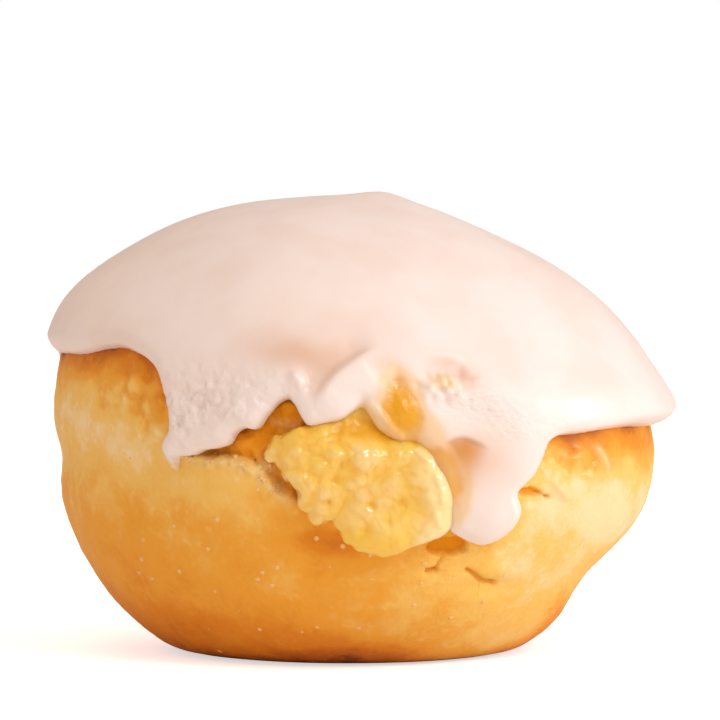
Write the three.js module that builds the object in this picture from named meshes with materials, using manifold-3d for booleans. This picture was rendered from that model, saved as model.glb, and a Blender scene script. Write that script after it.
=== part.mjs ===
// Mini custard berliner: a round fried bun with a flat base, a poured icing cap that runs down in drips,
// and a custard filling that runs from a pocket inside the bun out of a torn mouth at the front.
// Millimetres, +Z up. The origin is on the base, under the middle, and the mouth faces -Y.
// Angles run round from the front towards +X. Heights are those of the bun before its top leans.
import * as THREE from "three";
import { mergeVertices } from "three/addons/utils/BufferGeometryUtils.js";
import Module from "manifold-3d";

const { clamp, degToRad, lerp, smoothstep } = THREE.MathUtils;

// Bun: two half ellipsoids that meet at the widest ring, the lower one cut off by the flat base.
const BUN_RADIUS = 28.9;
const WAIST_HEIGHT = 21;
const DOME_HEIGHT = 20.2;
const BELLY_DEPTH = 25.3;
const BASE_BLEND = 1.3; // half the height over which the belly rounds into the base
const TOP_SLOPE = degToRad(6.2); // the top leans down towards +X
const SLOPE_FROM = 4;
const SLOPE_FULL = 30;
const TOP_SHIFT = -0.75; // the bun sits a little to -X of the middle
const FOOT_SHIFT = -0.8; // and its foot a little more
const FOOT_TOP = 22;

// Hand-shaped unevenness of the dough: how many swells go round the bun, how deep, and where they start.
const SWELLS = [
  { count: 3, depth: 0.3, start: 0.6 },
  { count: 5, depth: 0.22, start: 2.1 },
  { count: 8, depth: 0.12, start: 4.0 },
];

// Single dents (negative) and bulges of the dough, with their half widths round and up the bun.
const DENTS = [
  { angle: -84, height: 17, across: 11, along: 2.2, lift: -0.9 },
  { angle: 80, height: 7, across: 10, along: 2.8, lift: -1.4 },
  { angle: -88, height: 23, across: 9, along: 4, lift: -0.4 },
  { angle: 30, height: 7.8, across: 3.2, along: 1, lift: -0.6 },
  { angle: -24, height: 15.5, across: 6, along: 2.6, lift: 0.5 },
  { angle: 12, height: 6.5, across: 12, along: 3, lift: 0.5 },
  { angle: 150, height: 12, across: 10, along: 3, lift: -0.6 },
];

// Icing: a cap of set sugar icing with a rounded lip, thicker on the low side where it ran to.
const ICING_THIN = 1.2;
const ICING_THICK = 1.9;
const THICKEN_FROM = 0.2; // share of the way out to +X where the icing starts to thicken
const THICKEN_FULL = 0.9;
const ICING_LIP = 2.2; // width over which the lip rounds down to the dough
// A low crest on top of the icing, placed by its angles round and from the top of the bun.
const CREST = { angle: 80, polar: 8, spread: 14, lift: 0.7 };

// Lower edge of the icing as angle and height, once round from the back. Low points are drips.
const ICING_EDGE = [
  [-174, 16.8], [-169, 16.2], [-164, 17.4], [-158, 21.6], [-140, 24.4], [-124, 22.4],
  [-116, 19.6], [-112, 19.2], [-108, 20.4], [-102, 23.8],
  [-87, 25.1], [-70, 25.6], [-55, 26.9], [-47, 26.3], [-40.5, 24.6], [-37.6, 22.2],
  [-36.8, 19.4], [-35.6, 17.6], [-32, 18.2], [-26, 19.3], [-21.5, 21], [-18, 20.8],
  [-15, 23], [-12.2, 24.2], [-10.2, 23], [-7.8, 21.9], [-4, 22.5], [2, 24.3],
  [4, 22.4], [8, 21.2], [13.5, 20.6], [16.6, 18], [18.4, 14.4], [20.2, 12.3],
  [25.5, 11.4], [30.4, 12], [32.2, 13.8], [33.2, 17], [35.4, 19.6], [38.2, 22.1],
  [46, 23.1], [64, 23.9], [84, 23.5], [104, 22.6], [115, 20.4], [119, 18.2],
  [123, 17.8], [127, 18.8], [134, 22.6], [156, 24.3], [174, 22.4], [181, 19.4],
];

// Swells of the icing over the dough: drip ends, the folded lip over the mouth and the thin torn film.
const ICING_SWELLS = [
  { angle: 26, height: 14, across: 2.8, along: 2.6, lift: 0.7 },
  { angle: -35, height: 19.5, across: 2, along: 2, lift: 0.3 },
  { angle: -10, height: 24.4, across: 2, along: 1.6, lift: 0.5 },
  { angle: -4, height: 26.6, across: 2.2, along: 1.6, lift: 0.5 },
  { angle: 3, height: 28.6, across: 2.4, along: 1.6, lift: 0.4 },
  { angle: 7.5, height: 23.6, across: 2.6, along: 2, lift: -0.7 },
  { angle: 70, height: 25.5, across: 22, along: 2.4, lift: 0.6 },
  { angle: -170, height: 18.6, across: 2.8, along: 2.6, lift: 0.6 },
  { angle: -112, height: 21.4, across: 2.4, along: 2.4, lift: 0.4 },
  { angle: 122, height: 20.2, across: 2.6, along: 2.6, lift: 0.6 },
];

// Custard: a pocket in the middle of the bun, a flat neck to the mouth and a lobe that hangs out of it.
const POCKET = { center: [1, 1, 19.5], radii: [15, 14, 8] };
const NECK = { x: 1, height: 18.6, halfWidth: 8, halfHeight: 2.8, from: -8, to: -29.2 };
const LOBE_CENTER = { angle: 3, height: 17 };
const LOBE_THICKNESS = 2.4;
const LOBE_OUTLINE = [
  [18.8, 13.2], [18.4, 15.4], [16.6, 20], [10, 23], [2, 24], [-6, 22], [-12.5, 21.2],
  [-16.2, 19.6], [-14, 16.9], [-11.6, 15.2], [-8.6, 13.7], [-4, 12.8], [-1.2, 11.8],
  [4, 10.3], [9.8, 10.3], [15, 11.4],
];
const LUMPS = [
  { angle: -6, height: 16.6, across: 2.4, along: 1.8, lift: 0.6 },
  { angle: 1, height: 14.2, across: 2.6, along: 1.8, lift: 0.6 },
  { angle: 8, height: 13, across: 2.4, along: 1.6, lift: 0.7 },
  { angle: 13, height: 15.6, across: 2.2, along: 2, lift: 0.5 },
  { angle: 4, height: 18.4, across: 2.4, along: 1.6, lift: 0.5 },
];

// The hollow of the torn mouth beside the neck, under the icing.
const MOUTH = { center: [-7.5, -27.6, 20.2], radii: [5.2, 3.6, 1.9] };

const GAP = 0.4; // between pieces that lie on each other
const CUT_CLEARANCE = 0.8; // kept where one piece is cut back round another
const CUT_DEPTH = 0.6; // how far the icing's room reaches down into the dough
const CUT_HEIGHT = 6; // and up past the custard

// How many columns and rows of facets each solid has.
const BUN_GRID = { columns: 76, rows: 34 };
const ICING_GRID = { columns: 116, outerRows: 13, innerRows: 11 };
const LOBE_GRID = { columns: 44, outerRows: 8, innerRows: 4 };
const POCKET_GRID = { columns: 26, rows: 14 };
const NECK_SIDES = 28;
const FRONT_CROWDING = 0.5; // columns of the icing stand closer together at the front
const EDGE_CROWDING = 1.6; // and its rows closer together at the lip
const EDGE_FOLLOWING = 3; // how late the icing's rows leave the level to follow its edge
const EVEN_EDGE = degToRad(80); // where the edge would lie without drips
const LOBE_CROWDING = 1.6;
const NORMAL_STEP = 0.01; // radians between the points that give a normal
const SPLINE_STEPS = 12; // points on each stretch of an outline
const MERGE_WITHIN = 1e-4; // vertices closer than this are one
const WRAP_POINTS = 3; // points of the icing's edge repeated past each end of its turn
const GROW_STEPS = 4; // places tried to each side where the icing's edge is grown

/** A plain material for the surface of a food. */
function matte(color, roughness) {
  return new THREE.MeshStandardMaterial({ color, roughness, metalness: 0 });
}

/** The higher of a height and the base at 0, with a short round blend between them. */
function cutByBase(height) {
  if (height > BASE_BLEND) return height;
  if (height < -BASE_BLEND) return 0;
  return (height + BASE_BLEND) ** 2 / (4 * BASE_BLEND);
}

/** Angle from -180 to 180 degrees between two angles in degrees. */
function turnBetween(from, to) {
  return THREE.MathUtils.euclideanModulo(to - from + 180, 360) - 180;
}

/** Sum of round swells at an angle in degrees and a height. */
function swellAt(swells, angle, height) {
  let total = 0;
  for (const { angle: at, height: level, across, along, lift } of swells) {
    const side = (degToRad(turnBetween(at, angle)) * BUN_RADIUS) / across;
    const rise = (height - level) / along;
    total += lift * Math.exp(-side * side - rise * rise);
  }
  return total;
}

/** Height on the plain bun at an angle from its top, in radians. */
function heightAt(polar) {
  const cosine = Math.cos(polar);
  return WAIST_HEIGHT + cosine * (cosine > 0 ? DOME_HEIGHT : BELLY_DEPTH);
}

/** Angle from the top, in radians, of a height on the plain bun. */
function polarAt(height) {
  const rise = height - WAIST_HEIGHT;
  return Math.acos(clamp(rise / (rise > 0 ? DOME_HEIGHT : BELLY_DEPTH), -1, 1));
}

/** A point of the dough's surface, from an angle round the bun and one from its top, both in radians. */
function doughPoint(angle, polar) {
  const height = heightAt(polar);
  const level = cutByBase(height);
  const round = Math.sin(polar);
  let swell = swellAt(DENTS, THREE.MathUtils.radToDeg(angle), height);
  for (const { count, depth, start } of SWELLS) {
    swell += depth * Math.sin(count * angle + start + height / BUN_RADIUS);
  }
  const radius = round * (BUN_RADIUS + swell * round);
  const x = radius * Math.sin(angle);
  const foot = clamp(1 - level / FOOT_TOP, 0, 1);
  const slope = Math.tan(TOP_SLOPE) * smoothstep(level, SLOPE_FROM, SLOPE_FULL);
  return new THREE.Vector3(
    x + TOP_SHIFT + FOOT_SHIFT * foot * foot,
    -radius * Math.cos(angle),
    level - slope * x,
  );
}

/** A point lifted off the dough along its normal. The very top has one normal, whatever the angle. */
function liftedPoint(angle, polar, lift) {
  const facing = polar < NORMAL_STEP ? 0 : angle;
  const at = Math.max(polar, NORMAL_STEP);
  const round = doughPoint(facing + NORMAL_STEP, at).sub(doughPoint(facing - NORMAL_STEP, at));
  const down = doughPoint(facing, at + NORMAL_STEP).sub(doughPoint(facing, at - NORMAL_STEP));
  return doughPoint(angle, polar).addScaledVector(down.cross(round).normalize(), lift);
}

/** A closed solid from a grid of points: place(turn, row), turns from 0 to 1 and rows from pole to pole. */
function moulded(columns, rows, place) {
  const geometry = new THREE.SphereGeometry(1, columns, rows);
  const position = geometry.getAttribute("position");
  const uv = geometry.getAttribute("uv");
  for (let i = 0; i < position.count; i++) {
    const { x, y, z } = place(uv.getX(i) % 1, Math.round((1 - uv.getY(i)) * rows));
    position.setXYZ(i, x, y, z);
  }
  geometry.deleteAttribute("normal");
  geometry.deleteAttribute("uv");
  return mergeVertices(geometry);
}

/** A smooth curve through points of angle and height, as arc length round the widest ring and height. */
function outline(points, closed) {
  const places = points.map(([angle, height]) => new THREE.Vector3(degToRad(angle) * BUN_RADIUS, height, 0));
  return new THREE.CatmullRomCurve3(places, closed, "centripetal");
}

/** Points of the icing's lower edge, in order of angle, over more than one turn. */
function edgePoints() {
  const before = ICING_EDGE.slice(-WRAP_POINTS).map(([angle, height]) => [angle - 360, height]);
  const after = ICING_EDGE.slice(0, WRAP_POINTS).map(([angle, height]) => [angle + 360, height]);
  const points = [...before, ...ICING_EDGE, ...after];
  return outline(points, false).getPoints(points.length * SPLINE_STEPS);
}

const icingEdge = edgePoints();

/** Height of the icing's lower edge at an angle in radians. */
function edgeHeight(angle) {
  const arc = angle * BUN_RADIUS;
  const next = icingEdge.findIndex((point) => point.x > arc);
  const left = icingEdge[next - 1];
  const right = icingEdge[next];
  return lerp(left.y, right.y, (arc - left.x) / (right.x - left.x));
}

/** Height of the edge once the icing is grown all round, sideways as well as down. */
function grownEdgeHeight(angle, grow) {
  let least = edgeHeight(angle) - grow;
  for (let step = -GROW_STEPS; step <= GROW_STEPS; step++) {
    const aside = (step / GROW_STEPS) * grow;
    least = Math.min(least, edgeHeight(angle + aside / BUN_RADIUS) - Math.sqrt(grow ** 2 - aside ** 2));
  }
  return least;
}

/** Thickness of the icing away from its lip. */
function icingThickness(angle, polar) {
  const side = Math.sin(angle) * Math.sin(polar);
  const crestX = polar * Math.sin(angle) - degToRad(CREST.polar) * Math.sin(degToRad(CREST.angle));
  const crestY = polar * Math.cos(angle) - degToRad(CREST.polar) * Math.cos(degToRad(CREST.angle));
  const crest = CREST.lift * Math.exp(-(crestX ** 2 + crestY ** 2) / degToRad(CREST.spread) ** 2);
  const swells = swellAt(ICING_SWELLS, THREE.MathUtils.radToDeg(angle), heightAt(polar));
  return lerp(ICING_THIN, ICING_THICK, smoothstep(side, THICKEN_FROM, THICKEN_FULL)) + crest + swells;
}

/** Distance across the surface from a point to the icing's edge, up to the width of the lip. */
function distanceToEdge(angle, polar) {
  const here = new THREE.Vector3(angle * BUN_RADIUS, heightAt(polar), 0);
  return icingEdge.reduce((least, point) => Math.min(least, here.distanceTo(point)), ICING_LIP);
}

/** Angle from the top of a row of the icing's grid: rows are level near the top and follow the edge below. */
function icingRow(edge, share) {
  return lerp(EVEN_EDGE * share, EVEN_EDGE * share + edge - EVEN_EDGE, share ** EDGE_FOLLOWING);
}

/** The icing's grid as a closed cap: top(angle, polar, edge) gives its lift off the dough on the outside. */
function icingCap(grow, underside, top) {
  const { columns, outerRows, innerRows } = ICING_GRID;
  const rows = outerRows + innerRows;
  return moulded(columns, rows, (turn, row) => {
    const even = (2 * turn - 1) * Math.PI;
    const angle = even - FRONT_CROWDING * Math.sin(even);
    const edge = polarAt(grownEdgeHeight(angle, grow));
    const outside = row < outerRows;
    const share = outside ? row / outerRows : (rows - row) / innerRows;
    const polar = icingRow(edge, 1 - (1 - share) ** EDGE_CROWDING);
    return liftedPoint(angle, polar, outside ? top(angle, polar, edge) : underside);
  });
}

/** Lift of the icing's outside off the dough, rounding down to the dough at the lip. */
function icingTop(angle, polar, edge) {
  const above = (edge - polar) * BUN_RADIUS;
  const inset = 1 - Math.min(above, distanceToEdge(angle, polar), ICING_LIP) / ICING_LIP;
  return GAP + icingThickness(angle, polar) * Math.sqrt(1 - inset * inset);
}

/** The lobe of custard that lies on the dough in front of the mouth. */
function custardLobe() {
  const { columns, outerRows, innerRows } = LOBE_GRID;
  const rows = outerRows + innerRows;
  const middleArc = degToRad(LOBE_CENTER.angle) * BUN_RADIUS;
  const rim = outline(LOBE_OUTLINE, true);
  return moulded(columns, rows, (turn, row) => {
    const outside = row < outerRows;
    const reach = outside ? 1 - (1 - row / outerRows) ** LOBE_CROWDING : (rows - row) / innerRows;
    const edge = rim.getPoint(turn);
    const angle = lerp(middleArc, edge.x, reach) / BUN_RADIUS;
    const height = lerp(LOBE_CENTER.height, edge.y, reach);
    const bulge = LOBE_THICKNESS + swellAt(LUMPS, THREE.MathUtils.radToDeg(angle), height);
    const lift = GAP + (outside ? bulge * Math.sqrt(1 - reach * reach) : 0);
    return liftedPoint(angle, polarAt(height), lift);
  });
}

/** An ellipsoid, grown all round. */
function ellipsoid({ center, radii }, grow) {
  const geometry = new THREE.SphereGeometry(1, POCKET_GRID.columns, POCKET_GRID.rows);
  geometry.scale(...radii.map((radius) => radius + grow));
  return geometry.translate(...center);
}

/** The flat neck of custard between pocket and mouth, grown all round. */
function custardNeck(grow) {
  const length = NECK.from - NECK.to;
  const geometry = new THREE.CylinderGeometry(1, 1, length, NECK_SIDES);
  geometry.scale(NECK.halfWidth + grow, 1, NECK.halfHeight + grow);
  return geometry.translate(NECK.x, (NECK.from + NECK.to) / 2, NECK.height);
}

const wasm = await Module();
wasm.setup();

/** A closed geometry as a solid that can be joined and cut. */
function solid(geometry) {
  const bare = new THREE.BufferGeometry().setAttribute("position", geometry.getAttribute("position"));
  bare.setIndex(geometry.getIndex());
  const merged = mergeVertices(bare, MERGE_WITHIN);
  const vertProperties = new Float32Array(merged.getAttribute("position").array);
  const triVerts = new Uint32Array(merged.getIndex().array);
  return new wasm.Manifold(new wasm.Mesh({ numProp: 3, vertProperties, triVerts }));
}

/** A solid as a named mesh with its own material. */
function meshOf(name, body, material) {
  const { vertProperties, triVerts } = body.getMesh();
  const geometry = new THREE.BufferGeometry();
  geometry.setAttribute("position", new THREE.BufferAttribute(vertProperties, 3));
  geometry.setIndex(new THREE.BufferAttribute(triVerts, 1));
  geometry.computeVertexNormals();
  const mesh = new THREE.Mesh(geometry, material);
  mesh.name = name;
  return mesh;
}

/** The custard inside the bun: pocket and neck in one, grown all round. */
function filling(grow) {
  return solid(ellipsoid(POCKET, grow)).add(solid(custardNeck(grow)));
}

/** The bun with the room that its filling takes and the torn mouth. */
function makeBun() {
  const { columns, rows } = BUN_GRID;
  const dough = moulded(columns, rows, (turn, row) =>
    doughPoint((2 * turn - 1) * Math.PI, (row / rows) * Math.PI),
  );
  const hollowed = solid(dough).subtract(filling(GAP)).subtract(solid(ellipsoid(MOUTH, 0)));
  return meshOf("bun", hollowed, matte(0xd9974a, 0.55));
}

/** The icing cap on top of the bun. */
function makeIcing() {
  return meshOf("icing", solid(icingCap(0, GAP, icingTop)), matte(0xf5e3d6, 0.4));
}

/** The custard from the pocket to the lobe, cut back round the icing. */
function makeCustard() {
  const whole = filling(0).add(solid(custardLobe()));
  const room = icingCap(CUT_CLEARANCE, -CUT_DEPTH, () => CUT_HEIGHT);
  const cut = whole.subtract(solid(room));
  return meshOf("custard", cut, matte(0xf0c25e, 0.3));
}

const berliner = new THREE.Group();
berliner.name = "custard_berliner";
berliner.add(makeBun(), makeIcing(), makeCustard());

export default berliner;
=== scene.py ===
"""Looks of a mini custard berliner: fried bun, set sugar icing and the custard that runs out of its side.

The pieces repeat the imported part's own formulas, in millimetres, with the finer relief that the solids leave
out. Places on the bun's side are given as an angle from the front towards +X, in degrees, and a height in
millimetres.
"""

import logging
import math
from dataclasses import dataclass, field
from enum import Enum
from itertools import product
from typing import Any

import bpy
import numpy as np
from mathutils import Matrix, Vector


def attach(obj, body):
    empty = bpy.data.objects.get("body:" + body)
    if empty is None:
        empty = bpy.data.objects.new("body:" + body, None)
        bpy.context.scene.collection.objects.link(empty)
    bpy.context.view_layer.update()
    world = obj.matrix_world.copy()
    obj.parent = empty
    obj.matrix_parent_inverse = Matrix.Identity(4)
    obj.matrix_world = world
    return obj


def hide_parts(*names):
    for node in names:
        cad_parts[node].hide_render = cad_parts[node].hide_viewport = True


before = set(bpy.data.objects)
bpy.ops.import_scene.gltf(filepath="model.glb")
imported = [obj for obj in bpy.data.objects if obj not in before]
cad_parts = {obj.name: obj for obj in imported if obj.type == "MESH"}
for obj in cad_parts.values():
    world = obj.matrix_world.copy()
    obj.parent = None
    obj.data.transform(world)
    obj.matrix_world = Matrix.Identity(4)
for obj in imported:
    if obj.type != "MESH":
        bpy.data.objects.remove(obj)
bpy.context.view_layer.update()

LOG = logging.getLogger("berliner")
MM = 0.001
BODY = "root"
TURN = 2 * math.pi
SIDE_RADIUS = 28.9  # the radius on which the bun's side is unrolled into a plane
CHUNK = 4096  # places measured against a line at one time
TINY = 1e-6  # the shortest length that is divided by

Array = np.ndarray
Marks = dict[str, Array]
Pair = tuple[float, float]
Points = tuple[Pair, ...]
Stops = tuple[tuple[float, str], ...]
Patterns = tuple[tuple[str, float, float], ...]
Socket = bpy.types.NodeSocket


def linear(code: str) -> tuple[float, float, float, float]:
    """Turns an sRGB colour into the linear colour that shaders take.

    Args:
        code: six hexadecimal digits, without a hash sign.

    Returns:
        Linear red, green, blue and an alpha of 1.
    """
    parts = [int(code[i : i + 2], 16) / 255 for i in (0, 2, 4)]
    red, green, blue = (c / 12.92 if c <= 0.04045 else ((c + 0.055) / 1.055) ** 2.4 for c in parts)
    return red, green, blue, 1.0


def add_node(
    tree: bpy.types.NodeTree,
    kind: str,
    inputs: dict[Any, Any] | None = None,
    stops: Stops = (),
    **settings: Any,
) -> bpy.types.Node:
    """Adds a node with its settings and links.

    Args:
        tree: the node tree that gets the node.
        kind: the node's type name.
        inputs: for a socket's name or number, a fixed value or the output socket that feeds it.
        stops: for a colour ramp, its levels with their sRGB colours, in order.
        **settings: properties of the node itself.

    Returns:
        The new node.
    """
    node = tree.nodes.new(kind)
    for name, value in settings.items():
        setattr(node, name, value)
    for key, value in (inputs or {}).items():
        if isinstance(value, Socket):
            tree.links.new(value, node.inputs[key])
        else:
            node.inputs[key].default_value = value
    if stops:
        ramp = node.color_ramp
        ramp.interpolation = "EASE"
        while len(ramp.elements) < len(stops):
            ramp.elements.new(1.0)
        for element, (level, code) in zip(ramp.elements, stops):
            element.position = level
            element.color = linear(code)
    return node


def smoothstep(low: float, high: float, value: Array, least: float = 0.0) -> Array:
    """Rises softly from least at low to 1 at high."""
    share = np.clip((value - low) / (high - low), 0, 1)
    return least + (1 - least) * share * share * (3 - 2 * share)


def bell(value: Array, width: float, middle: float = 0.0) -> Array:
    """1 at the middle, falling softly to almost 0 two widths away."""
    return np.exp(-(((value - middle) / width) ** 2))


def unrolled(angle: Array, height: Array) -> Array:
    """Places on the plane of the unrolled side, in millimetres, from angles in radians and heights."""
    return np.stack([SIDE_RADIUS * angle, height], axis=-1)


class Noise:
    """Seeded gradient noise in space, between about -1 and 1."""

    SIDE = 256  # cells of the lattice before it repeats
    GAIN = 1.6  # brings the sum of the gradients to about 1
    SCATTER = 0.45  # how far a lump lies off its cell's middle, in cells
    LAYER_SHIFT = 17.3  # millimetres between the places where two layers are read

    def __init__(self, seed: int) -> None:
        """Draws the lattice's gradients.

        Args:
            seed: fixes the draw.
        """
        rng = np.random.default_rng(seed)
        self.order = rng.permutation(self.SIDE)
        gradients = rng.normal(size=(self.SIDE, 3))
        self.gradients = gradients / np.linalg.norm(gradients, axis=1, keepdims=True)

    def drawn(self, cell: Array) -> Array:
        """The gradients that were drawn for cells of the lattice."""
        x, y, z = (cell % self.SIDE).T
        return self.gradients[self.order[(self.order[(self.order[x] + y) % self.SIDE] + z) % self.SIDE]]

    def at(self, spots: Array, size: float) -> Array:
        """Reads the noise.

        Args:
            spots: places in millimetres, one a row.
            size: the width of one swell in millimetres.

        Returns:
            One value for each place.
        """
        scaled = spots / size
        cell = np.floor(scaled).astype(int)
        inside = scaled - cell
        ease = inside**3 * (inside * (inside * 6 - 15) + 10)
        total = np.zeros(len(spots))
        for corner in product((0, 1), repeat=3):
            weight = np.where(corner, ease, 1 - ease).prod(axis=1)
            total += weight * (self.drawn(cell + corner) * (inside - corner)).sum(axis=1)
        return self.GAIN * total

    def lumps(self, spots: Array, size: float, softness: float) -> Array:
        """Rounded lumps that crowd each other, as in curd.

        Args:
            spots: places in millimetres, one a row.
            size: the distance between lumps in millimetres.
            softness: how softly neighbours run together.

        Returns:
            About 0 on the lumps and -0.4 between them, for each place.
        """
        scaled = spots / size
        cell = np.floor(scaled).astype(int)
        total = np.zeros(len(spots))
        for corner in product((-1, 0, 1), repeat=3):
            gap = cell + corner + 0.5 + self.SCATTER * self.drawn(cell + corner) - scaled
            total += np.exp(-(gap**2).sum(axis=1) / softness)
        return softness * np.log(total)

    def layered(self, spots: Array, size: float, layers: int) -> Array:
        """The noise in several layers, each half as wide and half as strong as the one before."""
        return sum(self.at(spots + self.LAYER_SHIFT * n, size / 2**n) / 2**n for n in range(layers))


@dataclass(frozen=True)
class Ripples:
    """Fine relief that rolls up and down.

    Attributes:
        size: the width of its widest swell, in millimetres.
        lift: how far it goes up and down, in millimetres, or as a share where it varies a share.
        layers: how many layers of noise it has.
        level: its mean.
        shift: how far off the noise is read, in millimetres, so that two reliefs differ.
    """

    size: float
    lift: float
    layers: int = 1
    level: float = 0.0
    shift: float = 0.0

    def read(self, noise: Noise, spots: Array) -> Array:
        """The bare noise at places in space."""
        return noise.layered(spots + self.shift, self.size, self.layers)

    def at(self, noise: Noise, spots: Array) -> Array:
        """The relief at places in space."""
        return self.level + self.lift * self.read(noise, spots)


@dataclass(frozen=True)
class Creases(Ripples):
    """Fine relief with sharp crests, whose level is the height of the crests."""

    def at(self, noise: Noise, spots: Array) -> Array:
        """The relief at places in space."""
        return self.level - self.lift * np.abs(self.read(noise, spots))


@dataclass(frozen=True)
class Lumps:
    """Fine relief of lumps that crowd each other.

    Attributes:
        size: the distance between lumps, in millimetres.
        lift: how far they stand out, in millimetres.
        softness: how softly neighbours run together.
        base: what is added to the noise, so that the lumps stand out as far as their gaps sink in.
        shift: how far off the noise is read, in millimetres, so that two reliefs differ.
    """

    size: float
    lift: float
    softness: float
    base: float = 0.0
    shift: float = 0.0

    def at(self, noise: Noise, spots: Array) -> Array:
        """The relief at places in space."""
        return self.lift * (noise.lumps(spots + self.shift, self.size, self.softness) + self.base)


@dataclass(frozen=True)
class Swell:
    """A soft rise or dip on the bun's side.

    Attributes:
        angle: its middle, in degrees from the front.
        height: its middle, in millimetres.
        across: its half width round the bun, in millimetres.
        along: its half height, in millimetres.
        lift: how far it stands out, in millimetres, or in if negative.
    """

    angle: float
    height: float
    across: float
    along: float
    lift: float = 1.0

    def at(self, angle: Array, height: Array) -> Array:
        """The lift at places on the side."""
        turn = (angle - math.radians(self.angle) + math.pi) % TURN - math.pi
        return self.lift * bell(SIDE_RADIUS * turn, self.across) * bell(height, self.along, self.height)


def swelled(swells: tuple[Swell, ...], angle: Array, height: Array) -> Array:
    """The sum of several swells at places on the side."""
    return sum((swell.at(angle, height) for swell in swells), np.zeros_like(angle))


@dataclass(frozen=True)
class Reach:
    """How places on the unrolled side lie to a line.

    Attributes:
        distance: millimetres to the line.
        away: the direction from the place to the nearest point of the line, of length 1.
        side: 1 to the left of the line as it runs, -1 to its right.
        inside: whether an odd number of the line's runs pass under the place.
        along: 0 at the line's start to 1 at its end, for its nearest point.
    """

    distance: Array
    away: Array
    side: Array
    inside: Array
    along: Array

    @property
    def depth(self) -> Array:
        """Millimetres inside the line, negative outside it."""
        return np.where(self.inside, self.distance, -self.distance)


class Run(Enum):
    """How a drawn line goes on past its last point."""

    OPEN = "open"
    CLOSED = "closed"
    ROUND_THE_BUN = "round the bun"


@dataclass(frozen=True)
class Line:
    """A smooth line drawn on the bun's side.

    Attributes:
        points: degrees from the front and millimetres of height, in order.
        run: whether it is open, closed, or goes round the bun and meets itself there.
        steps: straight steps between two of its points.
    """

    points: Points
    run: Run = Run.OPEN
    steps: int = 6

    def path(self) -> Array:
        """The line's points on the unrolled plane, on a centripetal spline through the given ones.

        Returns:
            One point a row, in millimetres.
        """
        knots = np.array([(math.radians(turn) * SIDE_RADIUS, height) for turn, height in self.points])
        if self.run is Run.CLOSED:
            knots = np.concatenate([knots[-1:], knots, knots[:2]])
        elif self.run is Run.ROUND_THE_BUN:
            round_trip = np.array([TURN * SIDE_RADIUS, 0])
            knots = np.concatenate([knots[-3:] - round_trip, knots, knots[:3] + round_trip])
        else:
            knots = np.concatenate([2 * knots[:1] - knots[1:2], knots, 2 * knots[-1:] - knots[-2:-1]])
        before, start, end, after = knots[:-3], knots[1:-2], knots[2:-1], knots[3:]
        spans = ((before, start), (start, end), (end, after))
        gaps = [np.sqrt(np.linalg.norm(last - first, axis=1))[:, None] for first, last in spans]
        leave = gaps[1] * ((start - before) / gaps[0] - (end - before) / (gaps[0] + gaps[1])) + (end - start)
        arrive = gaps[1] * ((after - end) / gaps[2] - (after - start) / (gaps[1] + gaps[2])) + (end - start)
        share = (np.arange(self.steps) / self.steps)[:, None, None]
        curve = (
            (2 * share**3 - 3 * share**2 + 1) * start
            + (share**3 - 2 * share**2 + share) * leave
            + (3 * share**2 - 2 * share**3) * end
            + (share**3 - share**2) * arrive
        )
        return np.concatenate([curve.transpose(1, 0, 2).reshape(-1, 2), end[-1:]])

    def reach(self, angle: Array, height: Array) -> Reach:
        """Measures places on the side against the line."""
        return measured(self.path(), angle, height)


def measured(line: Array, angle: Array, height: Array) -> Reach:
    """Measures places on the side against a line on the unrolled plane.

    Args:
        line: the line's points in millimetres, one a row.
        angle: radians from the front.
        height: millimetres.

    Returns:
        Their distance, direction and side.
    """
    spots = unrolled(angle, height)
    start, step = line[:-1], np.diff(line, axis=0)
    length = (step**2).sum(axis=1)
    slope = step[:, 1] / np.where(step[:, 0] == 0, 1, step[:, 0])
    count = len(spots)
    distance, away, side, along = np.empty(count), np.empty((count, 2)), np.empty(count), np.empty(count)
    inside = np.empty(count, dtype=bool)
    for first in range(0, count, CHUNK):
        part = slice(first, first + CHUNK)
        offset = spots[part, None] - start
        share = np.clip((offset * step).sum(axis=2) / length, 0, 1)
        gap = share[..., None] * step - offset
        square = (gap**2).sum(axis=2)
        nearest = square.argmin(axis=1)
        rows = np.arange(len(nearest))
        distance[part] = np.sqrt(square[rows, nearest])
        away[part] = gap[rows, nearest]
        along[part] = (nearest + share[rows, nearest]) / len(step)
        run, rise = offset[rows, nearest].T
        side[part] = np.where(step[nearest, 0] * rise - step[nearest, 1] * run >= 0, 1, -1)
        over = (offset[..., 0] >= 0) != (offset[..., 0] - step[:, 0] >= 0)
        inside[part] = (over & (offset[..., 1] > offset[..., 0] * slope)).sum(axis=1) % 2 == 1
    return Reach(distance, away / np.maximum(distance, TINY)[:, None], side, inside, along)


@dataclass(frozen=True)
class Groove:
    """A narrow crease along a line.

    Attributes:
        line: where it runs.
        width: its half width in millimetres.
        lift: how far it stands out in millimetres, or in if negative.
    """

    line: Line
    width: float
    lift: float

    def share(self, angle: Array, height: Array) -> Array:
        """1 on the line, falling softly to 0 beside it."""
        return bell(self.line.reach(angle, height).distance, self.width)


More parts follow.
